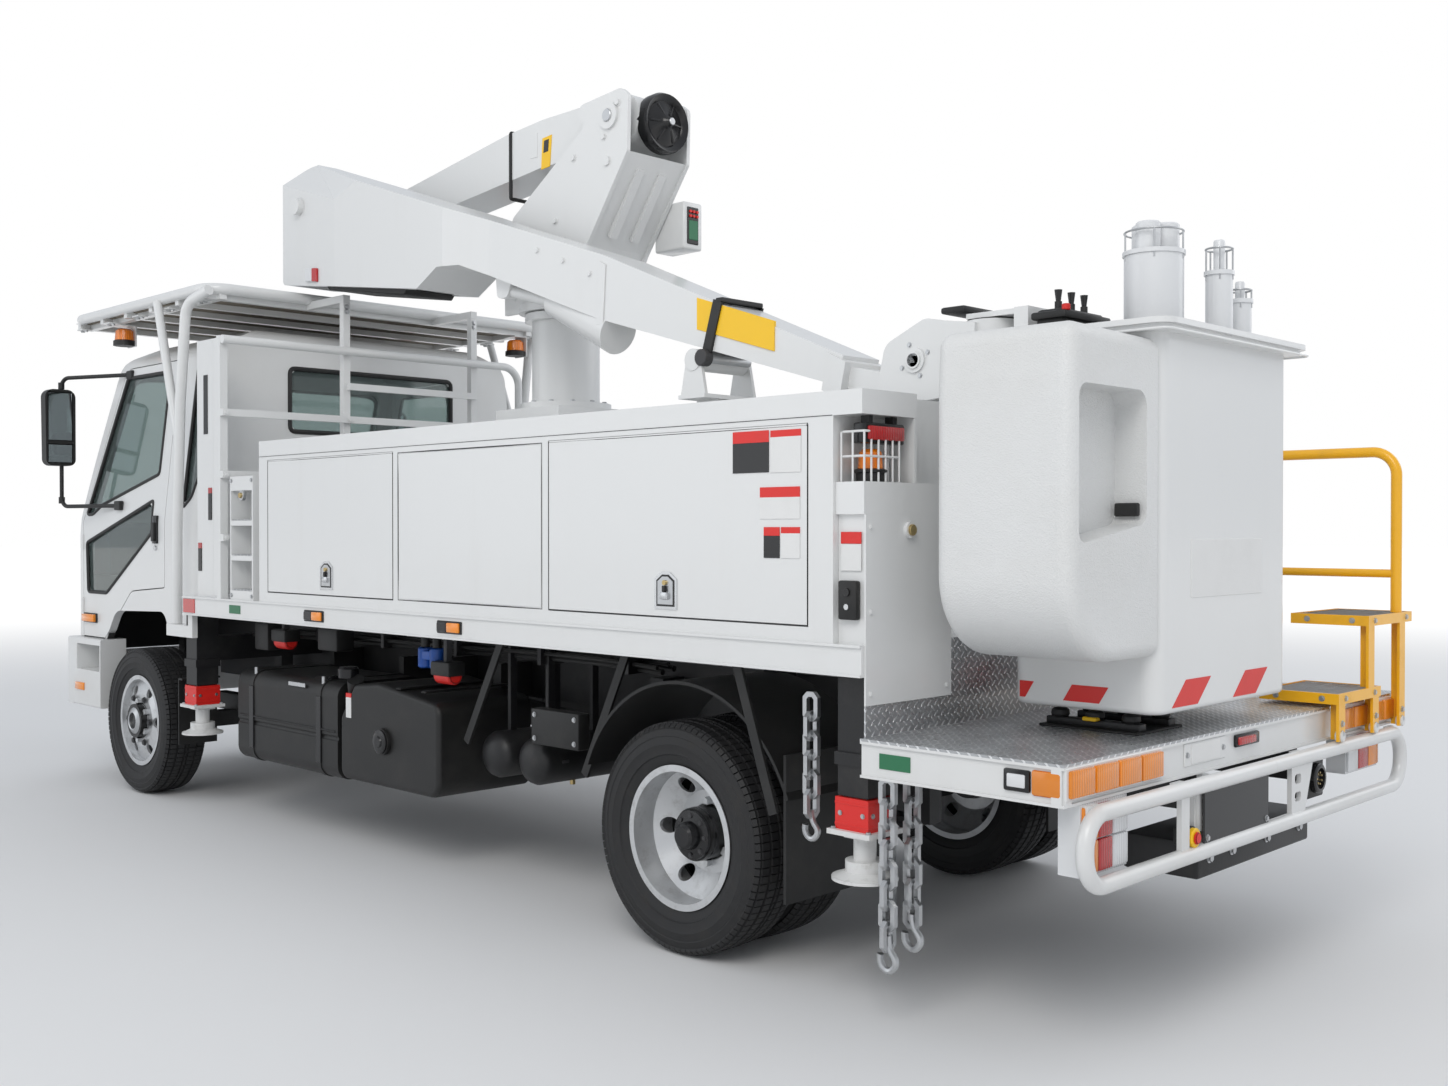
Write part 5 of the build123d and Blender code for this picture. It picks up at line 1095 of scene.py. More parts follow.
class TRUCK_OT_rear_lamps(bpy.types.Operator):
    """Lamp rows, clusters, small lamps and blank plates on the rear deck."""

    bl_idname = "truck.rear_lamps"
    bl_label = "Rear lamps"

    def execute(self, context):
        y = deck_y
        piece = Piece("amber_rows", "truck", "lamp_lens")
        for x0, x1 in ((0.690, 1.208), (-1.190, -0.604)):
            self.row(piece, x0, x1, 0.796, 0.872, y - 0.010)
        piece.done()
        piece = Piece("rear_clusters", "truck", "lamp_lens")
        low = 0.577
        for parts in (
            ((1.134, 1.058, "amber"), (1.056, 0.982, "red_lens"), (0.980, 0.896, "clear")),
            ((-0.706, -0.800, "clear"), (-0.802, -0.898, "red_lens"), (-0.900, -0.994, "amber")),
        ):
            for x1, x0, finish in parts:
                base = low if x0 > 0 else low + 0.06
                for z0, z1 in ((base, base + 0.090), (base + 0.093, 0.764)):
                    if z1 - z0 > 0.02:
                        piece.box((x0, y - 0.006, z0), (x1, y + 0.010, z1), finish, 0.006, segments=2)
        piece.done()
        piece = Piece("deck_side_lamps", "truck", "lamp_lens")
        x = body_x - 0.008
        piece.box((x - 0.004, 3.405, 0.800), (x + 0.010, 3.490, 0.862), "gloss_black", 0.006, segments=2)
        piece.box((x + 0.006, 3.418, 0.812), (x + 0.013, 3.477, 0.850), "clear", 0.004, segments=2)
        piece.box((x - 0.004, 3.494, 0.796), (x + 0.010, 3.588, 0.866), "amber", 0.008, segments=2)
        piece.done(mirror=True)
        piece = Piece("deck_rear_plates", "truck", "white_paint")
        piece.box((0.258, y - 0.010, 0.800), (0.532, y - 0.004, 0.872), "white", 0.003)
        piece.box((0.300, y - 0.006, 0.806), (0.490, y - 0.002, 0.866), "label", 0.001)
        for x0 in (0.275, 0.515):
            piece.bolt((x0, y - 0.004, 0.836), (0, 1, 0), size=0.007)
        piece.box((0.024, y - 0.012, 0.824), (0.193, y + 0.004, 0.864), "gloss_black", 0.006, segments=2)
        piece.box((0.064, y - 0.002, 0.831), (0.186, y + 0.012, 0.857), "red_lens", 0.006, segments=2)
        piece.box((body_x - 0.009, 2.965, 0.806), (body_x - 0.005, 3.080, 0.852), "green", 0.001)
        piece.done()
        return {"FINISHED"}

    def row(self, piece, x0, x1, z0, z1, y):
        """A row of amber lenses in a white frame."""
        piece.box((x0 - 0.010, y, z0 - 0.008), (x1 + 0.010, y + 0.012, z1 + 0.008), "white", 0.003)
        count = 4
        wide = (x1 - x0) / count
        for index in range(count):
            low = x0 + wide * index + 0.003
            piece.box((low, y + 0.008, z0), (low + wide - 0.006, y + 0.024, z1), "amber", 0.006, segments=2)


class TRUCK_OT_bumper_trim(bpy.types.Operator):
    """Panel, stop button, trailer socket and tow box of the rear bumper."""

    bl_idname = "truck.bumper_trim"
    bl_label = "Bumper trim"

    def execute(self, context):
        y = deck_y + 0.035
        piece = Piece("bumper_panel", "truck", "black_plastic")
        piece.box((0.030, y - 0.006, 0.566), (0.486, y + 0.002, 0.758), "gloss_black", 0.004)
        for x in (0.050, 0.466):
            for z in (0.584, 0.740):
                piece.bolt((x, y + 0.002, z), (0, 1, 0), size=0.008)
        piece.rod((0.545, y - 0.012, 0.596), (0.545, y + 0.006, 0.596), 0.030, "gold", sides=28, bevel=0.003)
        piece.rod((0.545, y + 0.004, 0.596), (0.545, y + 0.014, 0.596), 0.019, "red", sides=28, bevel=0.004)
        piece.box((0.515, y - 0.055, 0.570), (0.575, y - 0.010, 0.625), "plastic", 0.004)
        piece.done()
        piece = Piece("trailer_socket", "truck", "black_plastic")
        x, z = -0.380, 0.660
        piece.box((-0.455, y - 0.060, 0.590), (-0.305, y - 0.015, 0.735), "plastic", 0.008, segments=2)
        cup = [(-0.010, 0), (-0.010, 0.052), (0.012, 0.052), (0.016, 0.046), (0.016, 0.036),
               (0.004, 0.034), (0.004, 0)]
        piece.lathe((x, y - 0.010, z), "Y", cup, "gloss_black", 36)
        for across, up in circle(0.020, 7):
            pin = (x + across, z + up)
            piece.rod((pin[0], y - 0.008, pin[1]), (pin[0], y + 0.002, pin[1]), 0.0035, "brass", sides=10)
        piece.done()
        piece = Piece("tow_box", "truck", "chassis_black")
        piece.box((-0.465, 3.30, 0.425), (0.375, 3.56, 0.540), "black", 0.010, segments=2)
        for x in (-0.38, -0.12, 0.14, 0.30):
            piece.bolt((x, 3.56, 0.485), (0, 1, 0), "zinc", 0.013)
        piece.done()
        return {"FINISHED"}


class TRUCK_OT_step_trim(bpy.types.Operator):
    """Grip strips, bolts and white caps of the yellow steps."""

    bl_idname = "truck.step_trim"
    bl_label = "Step trim"

    def execute(self, context):
        piece = Piece("step_grips", "truck", "yellow_paint")
        low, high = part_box("rear_steps")
        front, back = high.y - 0.286, high.y
        count = 13
        for x0, x1, top in ((low.x, low.x + 0.436, 1.205), (high.x - 0.393, high.x, 0.941)):
            for index in range(count):
                x = x0 + 0.016 + (x1 - x0 - 0.036) * index / (count - 1)
                piece.box((x, front + 0.010, top - 0.0105), (x + 0.004, back - 0.010, top - 0.001), "zinc")
            for share in (0.2, 0.4, 0.6, 0.8):
                y = front + (back - front) * share
                piece.box((x0 + 0.010, y - 0.003, top - 0.0105), (x1 - 0.010, y + 0.003, top - 0.002), "zinc")
            for x in (x0 + 0.06, x1 - 0.06):
                piece.bolt((x, back, top - 0.019), (0, 1, 0), "zinc", 0.008)
            for y in (front + 0.06, back - 0.06):
                piece.bolt((x1, y, top - 0.019), (1, 0, 0), "zinc", 0.008)
        for x in (-0.537, -0.854, -1.120):
            for z in (0.800, 0.835):
                piece.bolt((x, back, z), (0, 1, 0), "zinc", 0.009)
            piece.rod((x, back - 0.02, 0.790), (x, back + 0.006, 0.790), 0.020, "white", bevel=0.003)
        piece.done()
        return {"FINISHED"}


class TRUCK_OT_tank_trim(bpy.types.Operator):
    """Straps, caps and fittings of the tanks."""

    bl_idname = "truck.tank_trim"
    bl_label = "Tank trim"

    def execute(self, context):
        low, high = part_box("fuel_tank")
        x = high.x
        piece = Piece("fuel_tank_trim", "truck", "black_plastic")
        for y in (low.y + 0.150, high.y - 0.170):
            piece.box((x - 0.006, y - 0.022, 0.40), (x + 0.003, y + 0.022, 0.72), "gloss_black", 0.002)
            piece.rod((x - 0.03, y, 0.775), (x - 0.03, y, 0.812), 0.010, "zinc", sides=16)
        piece.box((x - 0.012, low.y + 0.02, 0.556), (x + 0.001, high.y - 0.02, 0.568), "plastic", 0.004)
        cap = [(0, 0), (0, 0.052), (0.018, 0.052), (0.026, 0.046), (0.030, 0)]
        piece.lathe((0.980, high.y - 0.180, 0.760), "Y", cap, "gloss_black", 36)
        piece.box((x - 0.002, -0.86, 0.75), (x + 0.004, -0.70, 0.772), "steel", 0.002)
        piece.done()
        piece = Piece("hydraulic_tank_trim", "truck", "black_plastic")
        centre = (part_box("hydraulic_tank")[1].x - 0.001, -0.007, 0.560)
        piece.lathe(centre, "X", [(0, 0), (0, 0.054), (0.008, 0.054), (0.012, 0.046), (0.012, 0.026),
                                  (0.018, 0.022), (0.018, 0)], "gloss_black", 36)
        neck = (1.030, -0.359, 0.852)
        piece.lathe(neck, "Z", [(-0.03, 0), (-0.03, 0.046), (0.012, 0.048), (0.022, 0.040), (0.024, 0)],
                    "gloss_black", 32)
        piece.box((1.055, -0.330, 0.640), (1.062, -0.285, 0.740), "label", 0.001)
        piece.box((1.055, -0.330, 0.735), (1.0625, -0.285, 0.755), "red", 0.001)
        for y in (0.10, 0.30):
            piece.box((0.60, y - 0.020, 0.802), (1.055, y + 0.020, 0.812), "plastic", 0.004)
        piece.done()
        return {"FINISHED"}


class TRUCK_OT_underbody(bpy.types.Operator):
    """Air tanks, valves, pipes and boxes that hang under the tray."""

    bl_idname = "truck.underbody"
    bl_label = "Underbody"

    def execute(self, context):
        piece = Piece("air_tanks", "truck", "chassis_black")
        for y in (0.66, 0.92):
            self.air_tank(piece, y)
        piece.done()
        piece = Piece("side_fittings", "truck", "chassis_black")
        piece.box((0.96, 1.02, 0.655), (1.02, 1.32, 0.800), "plastic", 0.008, segments=2)
        for y in (1.045, 1.295):
            for z in (0.680, 0.775):
                piece.bolt((1.02, y, z), (1, 0, 0), "zinc", 0.008)
        for y in (0.225, 0.315):
            piece.rod((0.99, y, 0.905), (0.99, y, 1.000), 0.034, "blue", bevel=0.008)
            piece.rod((0.99, y, 1.000), (0.99, y, 1.072), 0.020, "plastic", sides=16)
        piece.box((0.955, 0.225, 0.945), (1.020, 0.315, 0.985), "blue", 0.006, segments=2)
        for y, z in ((0.410, 0.885), (-1.010, 0.955)):
            piece.rod((1.00, y - 0.062, z), (1.00, y + 0.062, z), 0.038, "red", sides=28, bevel=0.010)
            piece.box((0.955, y - 0.070, z), (1.045, y + 0.070, z + 0.062), "plastic", 0.008, segments=2)
            piece.box((0.985, y - 0.012, z + 0.06), (1.015, y + 0.012, 1.073), "cast", 0.002)
        piece.box((0.90, -1.30, 0.900), (1.02, -1.16, 1.040), "plastic", 0.010, segments=2)
        piece.box((0.90, -0.70, 0.930), (1.00, -0.52, 1.040), "plastic", 0.010, segments=2)
        piece.done()
        piece = Piece("underbody_pipes", "truck", "chassis_black")
        for index, (x, z) in enumerate(((0.86, 0.99), (0.83, 0.97), (0.80, 1.00), (0.77, 0.98))):
            piece.tube([(x, -1.62, z - 0.04), (x, -1.40, z), (x, 0.20, z), (x, 1.20, z + 0.02), (x, 1.60, z)],
                       0.009 + 0.003 * (index % 2), "plastic")
        for y in (-1.45, -0.9, -0.3, 0.3, 0.9, 1.45):
            piece.box((0.755, y - 0.012, 0.955), (0.885, y + 0.012, 1.074), "black", 0.002)
        piece.done()
        piece = Piece("frame_side_boxes", "truck", "chassis_black")
        for y0, y1, low in (
            (-1.62, -0.95, 0.42), (-0.90, -0.20, 0.40), (-0.15, 0.50, 0.44), (0.55, 1.30, 0.46),
        ):
            piece.box((-0.56, y0, low), (-0.44, y1, 0.93), "plastic", 0.020, segments=2)
            for y in (y0 + 0.12, y1 - 0.12):
                piece.box((-0.565, y - 0.02, low - 0.004), (-0.435, y + 0.02, 0.95), "cast", 0.003)
        piece.done()
        return {"FINISHED"}

    def air_tank(self, piece, y):
        """An air tank across the chassis, with domed ends and a drain."""
        half = [(0.19, 0.100), (0.215, 0.088), (0.238, 0.05), (0.24, 0)]
        profile = [(-place, radius) for place, radius in reversed(half)] + half
        piece.lathe((0.72, y, 0.560), "X", profile, "black", 32)
        for x in (0.60, 0.84):
            piece.box((x - 0.018, y - 0.104, 0.555), (x + 0.018, y + 0.104, 0.567), "cast", 0.002)
            piece.box((x - 0.018, y - 0.010, 0.655), (x + 0.018, y + 0.010, 1.073), "black", 0.002)
        piece.rod((0.72, y, 0.440), (0.72, y, 0.465), 0.012, "brass", sides=12)


def boom_half(y):
    """Half the upper boom's width at a place along it."""
    return 0.125 - 0.020 * (y - 0.145) / 2.135


def along_nose(y, start_y, start_z):
    """How high a line through a point is at y, where the line leans as the boom's nose does."""
    return start_z - 0.1356 * (y - start_y)


class TRUCK_OT_boom_trim(bpy.types.Operator):
    """Plate, strap, bands, bolts and nose lamps of the upper boom, and the bolts of its tip."""

    bl_idname = "truck.boom_trim"
    bl_label = "Boom trim"

    def execute(self, context):
        piece = Piece("boom_plate", "upper_boom", "yellow_paint")
        x = boom_x + boom_half(1.73)
        outline = [(1.520, 2.452), (1.940, 2.316), (1.940, 2.200), (1.520, 2.324)]
        piece.plate("X", x - 0.010, x + 0.005, outline, "gold", 0.0015)
        piece.done()
        piece = Piece("boom_strap", "upper_boom", "black_plastic")
        for sign in (1, -1):
            face = boom_x + sign * 0.1105
            strap = [(1.668, 2.418), (1.622, 2.434), (1.560, 2.236), (1.606, 2.222)]
            piece.plate("X", *sorted((face, face + sign * 0.014)), strap, "seal", 0.002)
        piece.box((0.344, 1.636, 2.418), (0.580, 1.676, 2.436), "seal", 0.003)
        piece.rod((0.325, 1.575, 2.205), (0.592, 1.575, 2.205), 0.020, "zinc", sides=20, bevel=0.003)
        piece.rod((0.560, 1.575, 2.205), (0.606, 1.575, 2.205), 0.034, "cast", bevel=0.004)
        piece.done()
        piece = Piece("boom_bands", "upper_boom", "white_paint")
        band = [(0.910, 2.405), (0.952, 2.395), (0.970, 2.655), (0.928, 2.675)]
        for sign in (1, -1):
            low, high = sorted((boom_x + sign * 0.118, boom_x + sign * 0.124))
            piece.plate("X", low, high, band, "white", 0.001)
        for sign in (1, -1):
            for y, z in ((0.50, 2.78), (0.68, 2.71), (0.86, 2.63)):
                piece.bolt((boom_x + sign * (boom_half(y) - 0.001), y, z), (sign, 0, 0), "white", 0.012)
        piece.done()
        piece = Piece("boom_nose_trim", "upper_boom", "lamp_lens")
        for y0, y1, finish in ((-1.455, -1.385, "clear"), (-1.384, -1.330, "red_lens")):
            bottom = [(y, along_nose(y, -1.4, 2.862)) for y in (y0, y1)]
            top = [(y, along_nose(y, -1.4, 2.935)) for y in (y1, y0)]
            piece.plate("X", 0.624, 0.642, bottom + top, finish, 0.003)
        # A black pad stands for the nose's open underside: partly its dark rollers and hoses, partly painted
        # shade in the hollow.
        front, back = -1.30, -0.52
        front_z, back_z = (along_nose(y, -1.755, 2.889) for y in (front, back))
        pad = [(front, front_z + 0.004), (back, back_z + 0.004),
               (back - 0.03, back_z - 0.022), (front + 0.03, front_z - 0.022)]
        piece.plate("X", 0.310, 0.600, pad, "plastic", 0.003)
        piece.done()
        piece = Piece("tip_trim", "boom_tip", "white_paint")
        for sign in (1, -1):
            face = boom_x + sign * 0.114
            y, z = 2.600, 2.112
            piece.rod((face, y, z), (face + sign * 0.006, y, z), 0.026, "zinc", sides=28, bevel=0.002)
            for along, up in circle(0.060, 4, 0.4):
                piece.bolt((boom_x + sign * 0.106, y + along, z + up), (sign, 0, 0), "zinc", 0.007)
        washer = [(-0.004, 0.05), (0.004, 0.05), (0.004, 0.086), (-0.004, 0.088)]
        piece.lathe((boom_x, 2.850, 2.232), "Z", washer, "seal", 40, closed=True)
        piece.box((0.36, 2.700, 2.262), (0.55, 2.800, 2.285), "seal", 0.008, segments=2)
        piece.done()
        return {"FINISHED"}


class TRUCK_OT_head_trim(bpy.types.Operator):
    """Black cap, control box, bolts and blank plates of the turntable head and lower arm."""

    bl_idname = "truck.head_trim"
    bl_label = "Head trim"

    def execute(self, context):
        piece = Piece("head_cap", "turntable", "black_plastic")
        x, z = -0.02, 3.430
        cap = [(0.062, 0), (0.062, 0.020), (0.050, 0.028), (0.034, 0.042), (0.014, 0.104),
               (0.030, 0.120), (0.034, 0.134), (0.014, 0.142), (-0.030, 0.140), (-0.030, 0)]
        piece.lathe((x, 0.690, z), "Y", cap, "gloss_black", 48)
        piece.rod((x, 0.745, z), (x, 0.758, z), 0.018, "zinc", bevel=0.003)
        for inner, outer in zip(circle(0.036, 6), circle(0.0972, 6)):
            piece.rod((x + inner[0], 0.722, z + inner[1]), (x + outer[0], 0.706, z + outer[1]), 0.006,
                      "gloss_black", sides=10)
        piece.done()
        piece = Piece("control_box", "turntable", "black_plastic")
        piece.box((-0.330, 0.430, 2.880), (-0.205, 0.640, 3.110), "white", 0.012, segments=3)
        piece.box((-0.300, 0.636, 2.905), (-0.225, 0.646, 3.085), "gloss_black", 0.004)
        piece.box((-0.292, 0.643, 2.925), (-0.233, 0.650, 3.020), "green", 0.003)
        for z in (3.040, 3.062):
            for x in (-0.285, -0.262, -0.240):
                piece.rod((x, 0.644, z), (x, 0.654, z), 0.007, "red", sides=14)
        piece.done()
        piece = Piece("head_bolts", "turntable", "white_paint")
        for sign in (1, -1):
            for y, z in ((0.30, 3.30), (0.62, 3.50), (0.52, 3.36), (0.16, 3.02), (-0.16, 2.68), (0.16, 2.68)):
                piece.bolt((sign * 0.200, y, z), (sign, 0, 0), "white", 0.014)
            piece.rod((sign * 0.212, 0.56, 3.45), (sign * 0.222, 0.56, 3.45), 0.030, "zinc",
                      sides=28, bevel=0.003)
        for x, y in circle(0.214, 16):
            piece.bolt((x, slew_y + y, 2.642), (0, 0, 1), "zinc", 0.010)
        piece.done()
        piece = Piece("arm_trim", "lower_boom", "white_paint")
        plate = [(-0.050, 3.320), (0.020, 3.325), (0.034, 3.480), (-0.040, 3.474)]
        patch = [(-0.030, 3.400), (0.008, 3.402), (0.014, 3.462), (-0.024, 3.460)]
        for sign in (1, -1):
            low, high = sorted((sign * 0.119, sign * 0.1235))
            piece.plate("X", low, high, plate, "gold", 0.001)
            low, high = sorted((sign * 0.121, sign * 0.1250))
            piece.plate("X", low, high, patch, "gloss_black", 0.001)
        corners = ((0.122, 3.215), (-0.122, 3.215), (-0.122, 3.552), (0.122, 3.552))
        ring = [(x, -0.300, z) for x, z in corners]
        piece.tube(cornered(ring, 0.02), 0.010, "seal", closed=True)
        piece.done()
        piece = Piece("pedestal_trim", "truck", "white_paint")
        for x, y in circle(0.205, 12):
            piece.bolt((x, slew_y + y, 2.150), (0, 0, 1), "zinc", 0.012)
        piece.done()
        return {"FINISHED"}


class TRUCK_OT_basket_trim(bpy.types.Operator):
    """Stripes, blank plate, holster fittings, canisters and controls of the basket, and its stops."""

    bl_idname = "truck.basket_trim"
    bl_label = "Basket trim"

    def execute(self, context):
        rear = deck_y - 0.030
        left = 0.644
        height = context.scene.trim_sizes.stripe
        piece = Piece("basket_stripes", "basket", "jack_red")
        for x in (0.563, 0.151):
            self.stripe(piece, "Y", (rear - 0.001, rear + 0.0015), x, x - 0.165, -0.090, 0.981, height)
            self.stripe(piece, "Y", (rear - 0.5215, rear - 0.519), x, x - 0.165, -0.090, 0.981, height)
        low, short = 0.985, height * 0.65
        self.stripe(piece, "X", (left - 0.001, left + 0.0015), 3.242, 3.368, 0.032, low, short)
        corner = [(3.084, low), (3.104, low), (3.136, low + short), (3.084, low + short)]
        piece.plate("X", left - 0.001, left + 0.0015, corner, "red")
        piece.done()
        piece = Piece("basket_stops", "truck", "black_plastic")
        piece.box((0.300, 3.120, deck_z - 0.001), (0.590, 3.470, deck_z + 0.008), "plastic", 0.003)
        buffer = [(0, 0), (0, 0.024), (0.010, 0.030), (0.024, 0.028), (0.030, 0.020), (0.032, 0)]
        for x in (0.350, 0.540):
            piece.box((x - 0.022, 3.130, deck_z + 0.006), (x + 0.022, 3.460, deck_z + 0.030),
                      "black", 0.004, segments=2)
            for y in (3.170, 3.295, 3.420):
                piece.lathe((x, y, deck_z + 0.028), "Z", buffer, "seal", 24)
        piece.box((0.552, 3.270, deck_z + 0.028), (0.580, 3.320, deck_z + 0.040), "gold", 0.003)
        piece.done()
        piece = Piece("basket_plate", "basket", "white_paint")
        piece.box((-0.055, rear - 0.001, 1.311), (0.443, rear + 0.002, 1.492), "label", 0.001)
        piece.done()
        piece = Piece("holster_fittings", "basket", "black_plastic")
        for z0 in (1.60, 1.905):
            piece.rod((1.060, rear - 0.075, z0), (1.092, rear - 0.075, z0), 0.012, "steel", sides=18)
        piece.tube([(1.066, rear - 0.08, 1.60), (1.062, rear - 0.085, 1.75), (1.066, rear - 0.08, 1.905)],
                   0.005, "steel")
        piece.box((0.722, rear - 0.100, 1.560), (0.735, rear - 0.020, 1.600), "seal", 0.004)
        piece.done()
        piece = Piece("canister_rings", "basket", "canister_grey")
        for x, y, radius, top, ring in (
            (0.255, 3.341, 0.095, 2.430, 2.493),
            (0.030, 3.458, 0.044, 2.380, 2.454),
            (-0.115, 3.463, 0.038, 2.302, 2.333),
        ):
            self.canister(piece, x, y, radius, top, ring)
        piece.done()
        piece = Piece("basket_controls", "basket", "black_plastic")
        piece.box((0.30, 3.085, 1.90), (0.56, 3.190, 2.235), "plastic", 0.015, segments=3)
        piece.box((0.285, 3.075, 2.200), (0.575, 3.205, 2.225), "seal", 0.008, segments=2)
        for x in (0.350, 0.430, 0.510):
            piece.rod((x, 3.140, 2.230), (x, 3.140, 2.262), 0.012, "seal", sides=16)
            piece.rod((x, 3.140, 2.262), (x, 3.140, 2.300), 0.008, "gloss_black", tip=0.013, sides=16)
        piece.rod((0.545, 3.190, 2.225), (0.545, 3.190, 2.246), 0.014, "red", sides=20, bevel=0.003)
        piece.done()
        piece = Piece("rim_rubber", "basket", "black_plastic")
        corners = [(left + 0.05, rear + 0.05, 2.115), (-0.323, rear + 0.05, 2.115),
                   (-0.323, rear - 0.57, 2.115), (left + 0.05, rear - 0.57, 2.115)]
        piece.tube(cornered(corners, 0.06), 0.004, "gelcoat", closed=True)
        piece.done()
        return {"FINISHED"}

    def stripe(self, piece, axis, depth, start, end, lean, z, height):
        """A slanted stripe along the bottom edge of a face."""
        outline = [(start, z), (end, z), (end + lean, z + height), (start + lean, z + height)]
        piece.plate(axis, *depth, outline, "red")

    def canister(self, piece, x, y, radius, top, ring):
        """A canister's wire ring on its posts, and the tubes that stand in it."""
        wire = [(x + across, y + along, ring) for across, along in circle(radius, 16)]
        piece.tube(wire, 0.0035, "zinc", closed=True)
        for across, along in circle(radius, 5, 0.5):
            place = (x + across, y + along)
            piece.rod((*place, top - 0.03), (*place, ring), 0.003, "zinc", sides=10)
        inner = radius * 0.42
        rise = ring - top
        tube = [(0, 0), (0, inner), (rise + 0.275, inner), (rise + 0.280, inner * 0.86),
                (rise + 0.235, inner * 0.80), (rise + 0.235, 0)]
        spots = ((0.4, 0.0), (-0.35, 0.3), (-0.1, -0.42)) if radius > 0.06 else ((0.0, 0.0),)
        for across, along in spots:
            foot = (x + across * radius, y + along * radius, top - 0.25)
            piece.lathe(foot, "Z", tube, "canister", 28)


class TRUCK_OT_jack_trim(bpy.types.Operator):
    """Red edges and bolts of the outrigger legs' warning boxes."""

    bl_idname = "truck.jack_trim"
    bl_label = "Jack trim"

    def execute(self, context):
        for side, sign in sides:
            for end in ("front", "rear"):
                node = f"outrigger_leg_{side}_{end}"
                low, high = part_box(node)
                x, y = (low.x + high.x) / 2, (low.y + high.y) / 2
                piece = Piece(f"jack_lamp_{side}_{end}", f"outrigger_{side}_{end}", "jack_red")
                half = 0.0675
                for z in (0.606, 0.672):
                    piece.box((x - half, y - half, z - 0.004), (x + half, y + half, z + 0.004), "red", 0.001)
                for shift in (-0.045, 0.045):
                    piece.bolt((x + sign * 0.0665, y + shift, 0.640), (sign, 0, 0), "zinc", 0.006)
                    piece.bolt((x + shift, y + 0.0665, 0.640), (0, 1, 0), "zinc", 0.006)
                for across in (-0.07, 0.07):
                    for along in (-0.07, 0.07):
                        piece.bolt((x + across, y + along, 0.589), (0, 0, 1), "zinc", 0.008)
                piece.done()
        return {"FINISHED"}


class TRUCK_OT_chain_trim(bpy.types.Operator):
    """Hooks on the rear chains."""

    bl_idname = "truck.chain_trim"
    bl_label = "Chain trim"

    def execute(self, context):
        piece = Piece("chain_hooks", "truck", "bare_steel")
        small = ((0, 0.625), (0, 0.590), (0.035, 0.560), (0.005, 0.525), (-0.032, 0.548), (-0.026, 0.575))
        piece.tube([(1.137, 2.626 + along, z) for along, z in small], 0.010, "zinc")
        large = ((0, 0.020), (0, -0.020), (0.040, -0.055), (0.008, -0.095), (-0.034, -0.070),
                 (-0.028, -0.040))
        for x, y, z in ((1.157, 2.950, 0.270), (1.087, 2.990, 0.330)):
            piece.tube([(x, y + along, z + up) for along, up in large], 0.011, "zinc")
        piece.done()
        return {"FINISHED"}


class TRUCK_OT_cab_room(bpy.types.Operator):
    """Instrument cowl, screen, headrests and gear lever inside the cab."""

    bl_idname = "truck.cab_room"
    bl_label = "Cab room"

    def execute(self, context):
        piece = Piece("cab_fittings", "truck", "cab_trim")
        front = cab_front
        piece.box((-0.62, front + 0.19, 1.555), (-0.22, front + 0.30, 1.640), "trim", 0.02, segments=3)
        piece.box((-0.12, front + 0.335, 1.42), (0.16, front + 0.372, 1.54), "gloss_black", 0.01, segments=2)
        for x in (0.64, -0.64):
            piece.box((x - 0.14, front + 1.345, 2.035), (x + 0.14, front + 1.435, 2.20),
                      "cloth", 0.035, segments=3)
            for post in (x - 0.06, x + 0.06):
                piece.rod((post, front + 1.385, 1.98), (post, front + 1.385, 2.05), 0.006, "steel", sides=12)
        piece.rod((-0.02, front + 0.55, 1.10), (0.02, front + 0.62, 1.62), 0.012, "plastic", sides=16)
        piece.rod((0.018, front + 0.617, 1.60), (0.024, front + 0.628, 1.67), 0.028, "gloss_black",
                  tip=0.020, sides=20)
        piece.done()
        return {"FINISHED"}


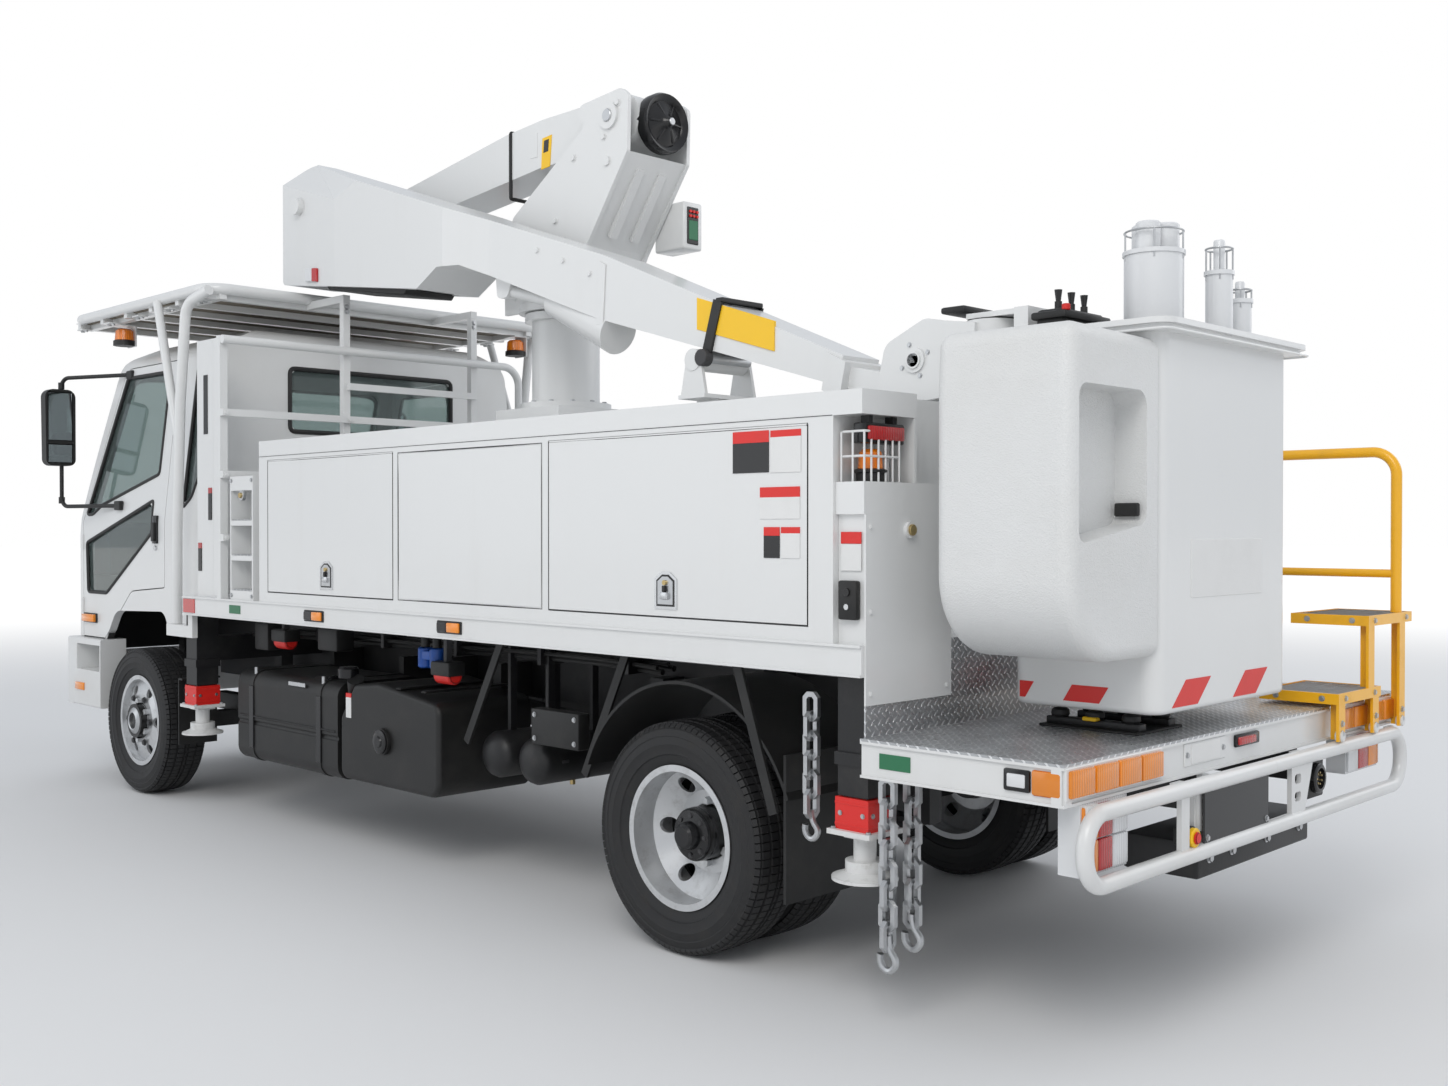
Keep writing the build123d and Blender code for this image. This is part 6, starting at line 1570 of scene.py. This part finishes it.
class TRUCK_OT_studio(bpy.types.Operator):
    """Adds the floor, the lights, the pale world and the camera."""

    bl_idname = "truck.studio"
    bl_label = "Studio"

    def execute(self, context):
        sizes = context.scene.studio_sizes
        scene = context.scene
        scene.view_settings.view_transform = "Standard"
        self.floor(sizes.floor_shade)
        for name, place, size, power, tint in (
            ("key_light", (9.0, 7.0, 9.0), 6.0, 520.0, (1.0, 0.98, 0.95)),
            ("fill_light", (10.0, -7.0, 5.0), 8.0, 150.0, (0.95, 0.98, 1.0)),
            ("back_light", (-9.0, 6.0, 7.0), 8.0, 200.0, (1.0, 1.0, 1.0)),
        ):
            bpy.ops.object.light_add(type="AREA", location=place)
            light = context.object
            light.name = name
            light.data.size = size
            light.data.energy = power
            light.data.color = tint
            light.rotation_euler = (Vector((0, 0, 1.2)) - Vector(place)).to_track_quat("-Z", "Y").to_euler()
        self.pale_world(scene)
        data = bpy.data.cameras.new("camera")
        data.lens = sizes.lens
        data.sensor_width = 36.0
        data.clip_end = 400.0
        camera = bpy.data.objects.new("camera", data)
        scene.collection.objects.link(camera)
        camera.location = sizes.camera_place
        camera.rotation_euler = (math.pi / 2 - sizes.camera_tilt, 0, sizes.camera_turn)
        scene.camera = camera
        return {"FINISHED"}

    def floor(self, shade):
        """A pale round floor that turns to the world's white far out."""
        bpy.ops.object.select_all(action="DESELECT")
        bpy.ops.mesh.primitive_circle_add(vertices=96, radius=120, fill_type="NGON", location=(0, 0, 0))
        floor = bpy.context.object
        floor.name = "floor"
        finish = Finish("floor_finish", (shade, shade, shade), 0.95, emission_strength=1.0)
        x, y = finish.axis("X"), finish.axis("Y")
        far = finish.between((x * x + y * y).root(), 6.0, 22.0)
        ground = finish.mix(finish.noise(0.4, 3.0), (shade, shade, shade), (shade * 0.97,) * 3)
        finish.colour(finish.mix(far, ground, (0, 0, 0)))
        finish.feed(finish.shader.inputs["Emission Color"], finish.mix(far, (0, 0, 0), (1, 1, 1)))
        floor.data.materials.append(finish.material)

    def pale_world(self, scene):
        """A soft grey world that the camera, and what mirrors or lets light through, see as white."""
        world = bpy.data.worlds.new("studio")
        scene.world = world
        world.use_nodes = True
        tree = world.node_tree
        tree.nodes.clear()
        rays = tree.nodes.new("ShaderNodeLightPath")
        seen = tree.nodes.new("ShaderNodeMath")
        seen.operation = "MAXIMUM"
        tree.links.new(rays.outputs["Is Camera Ray"], seen.inputs[0])
        tree.links.new(rays.outputs["Is Transmission Ray"], seen.inputs[1])
        soft = tree.nodes.new("ShaderNodeBackground")
        soft.inputs["Color"].default_value = (0.90, 0.94, 1.0, 1)
        soft.inputs["Strength"].default_value = 0.70
        white = tree.nodes.new("ShaderNodeBackground")
        white.inputs["Strength"].default_value = 1.0
        white.inputs["Color"].default_value = (1, 1, 1, 1)
        mixed = tree.nodes.new("ShaderNodeMixShader")
        tree.links.new(seen.outputs[0], mixed.inputs[0])
        tree.links.new(soft.outputs[0], mixed.inputs[1])
        tree.links.new(white.outputs[0], mixed.inputs[2])
        output = tree.nodes.new("ShaderNodeOutputWorld")
        tree.links.new(mixed.outputs[0], output.inputs[0])


pieces = (
    TRUCK_OT_finishes, TRUCK_OT_tyres, TRUCK_OT_hubs, TRUCK_OT_window_seals, TRUCK_OT_cab_trim,
    TRUCK_OT_mirror_trim, TRUCK_OT_rack_trim, TRUCK_OT_guard_trim, TRUCK_OT_rail_trim,
    TRUCK_OT_locker_trim, TRUCK_OT_rear_column_trim, TRUCK_OT_rear_lamps, TRUCK_OT_bumper_trim,
    TRUCK_OT_step_trim, TRUCK_OT_tank_trim, TRUCK_OT_underbody, TRUCK_OT_boom_trim,
    TRUCK_OT_head_trim, TRUCK_OT_basket_trim, TRUCK_OT_jack_trim, TRUCK_OT_chain_trim,
    TRUCK_OT_cab_room,
)
classes = (TruckColours, TrimSizes, StudioSizes, *pieces, TRUCK_OT_studio)


class TRUCK_PT_panel(bpy.types.Panel):
    """The truck's pieces and the studio, in the sidebar."""

    bl_idname = "TRUCK_PT_panel"
    bl_label = "Cherry Picker Truck"
    bl_space_type = "VIEW_3D"
    bl_region_type = "UI"
    bl_category = "Truck"

    def draw(self, context):
        """One button for each operator."""
        column = self.layout.column()
        for operator in (*pieces, TRUCK_OT_studio):
            column.operator(operator.bl_idname)


def register():
    """Adds the property groups, the operators and the panel to Blender."""
    for cls in (*classes, TRUCK_PT_panel):
        bpy.utils.register_class(cls)
    bpy.types.Scene.truck_colours = bpy.props.PointerProperty(type=TruckColours)
    bpy.types.Scene.trim_sizes = bpy.props.PointerProperty(type=TrimSizes)
    bpy.types.Scene.studio_sizes = bpy.props.PointerProperty(type=StudioSizes)


def unregister():
    """Takes them out again."""
    del bpy.types.Scene.studio_sizes
    del bpy.types.Scene.trim_sizes
    del bpy.types.Scene.truck_colours
    for cls in reversed((*classes, TRUCK_PT_panel)):
        bpy.utils.unregister_class(cls)


def main():
    """Runs every operator."""
    register()
    for group, name in (operator.bl_idname.split(".") for operator in (*pieces, TRUCK_OT_studio)):
        getattr(getattr(bpy.ops, group), name)()
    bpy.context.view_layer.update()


if __name__ == "__main__":
    main()
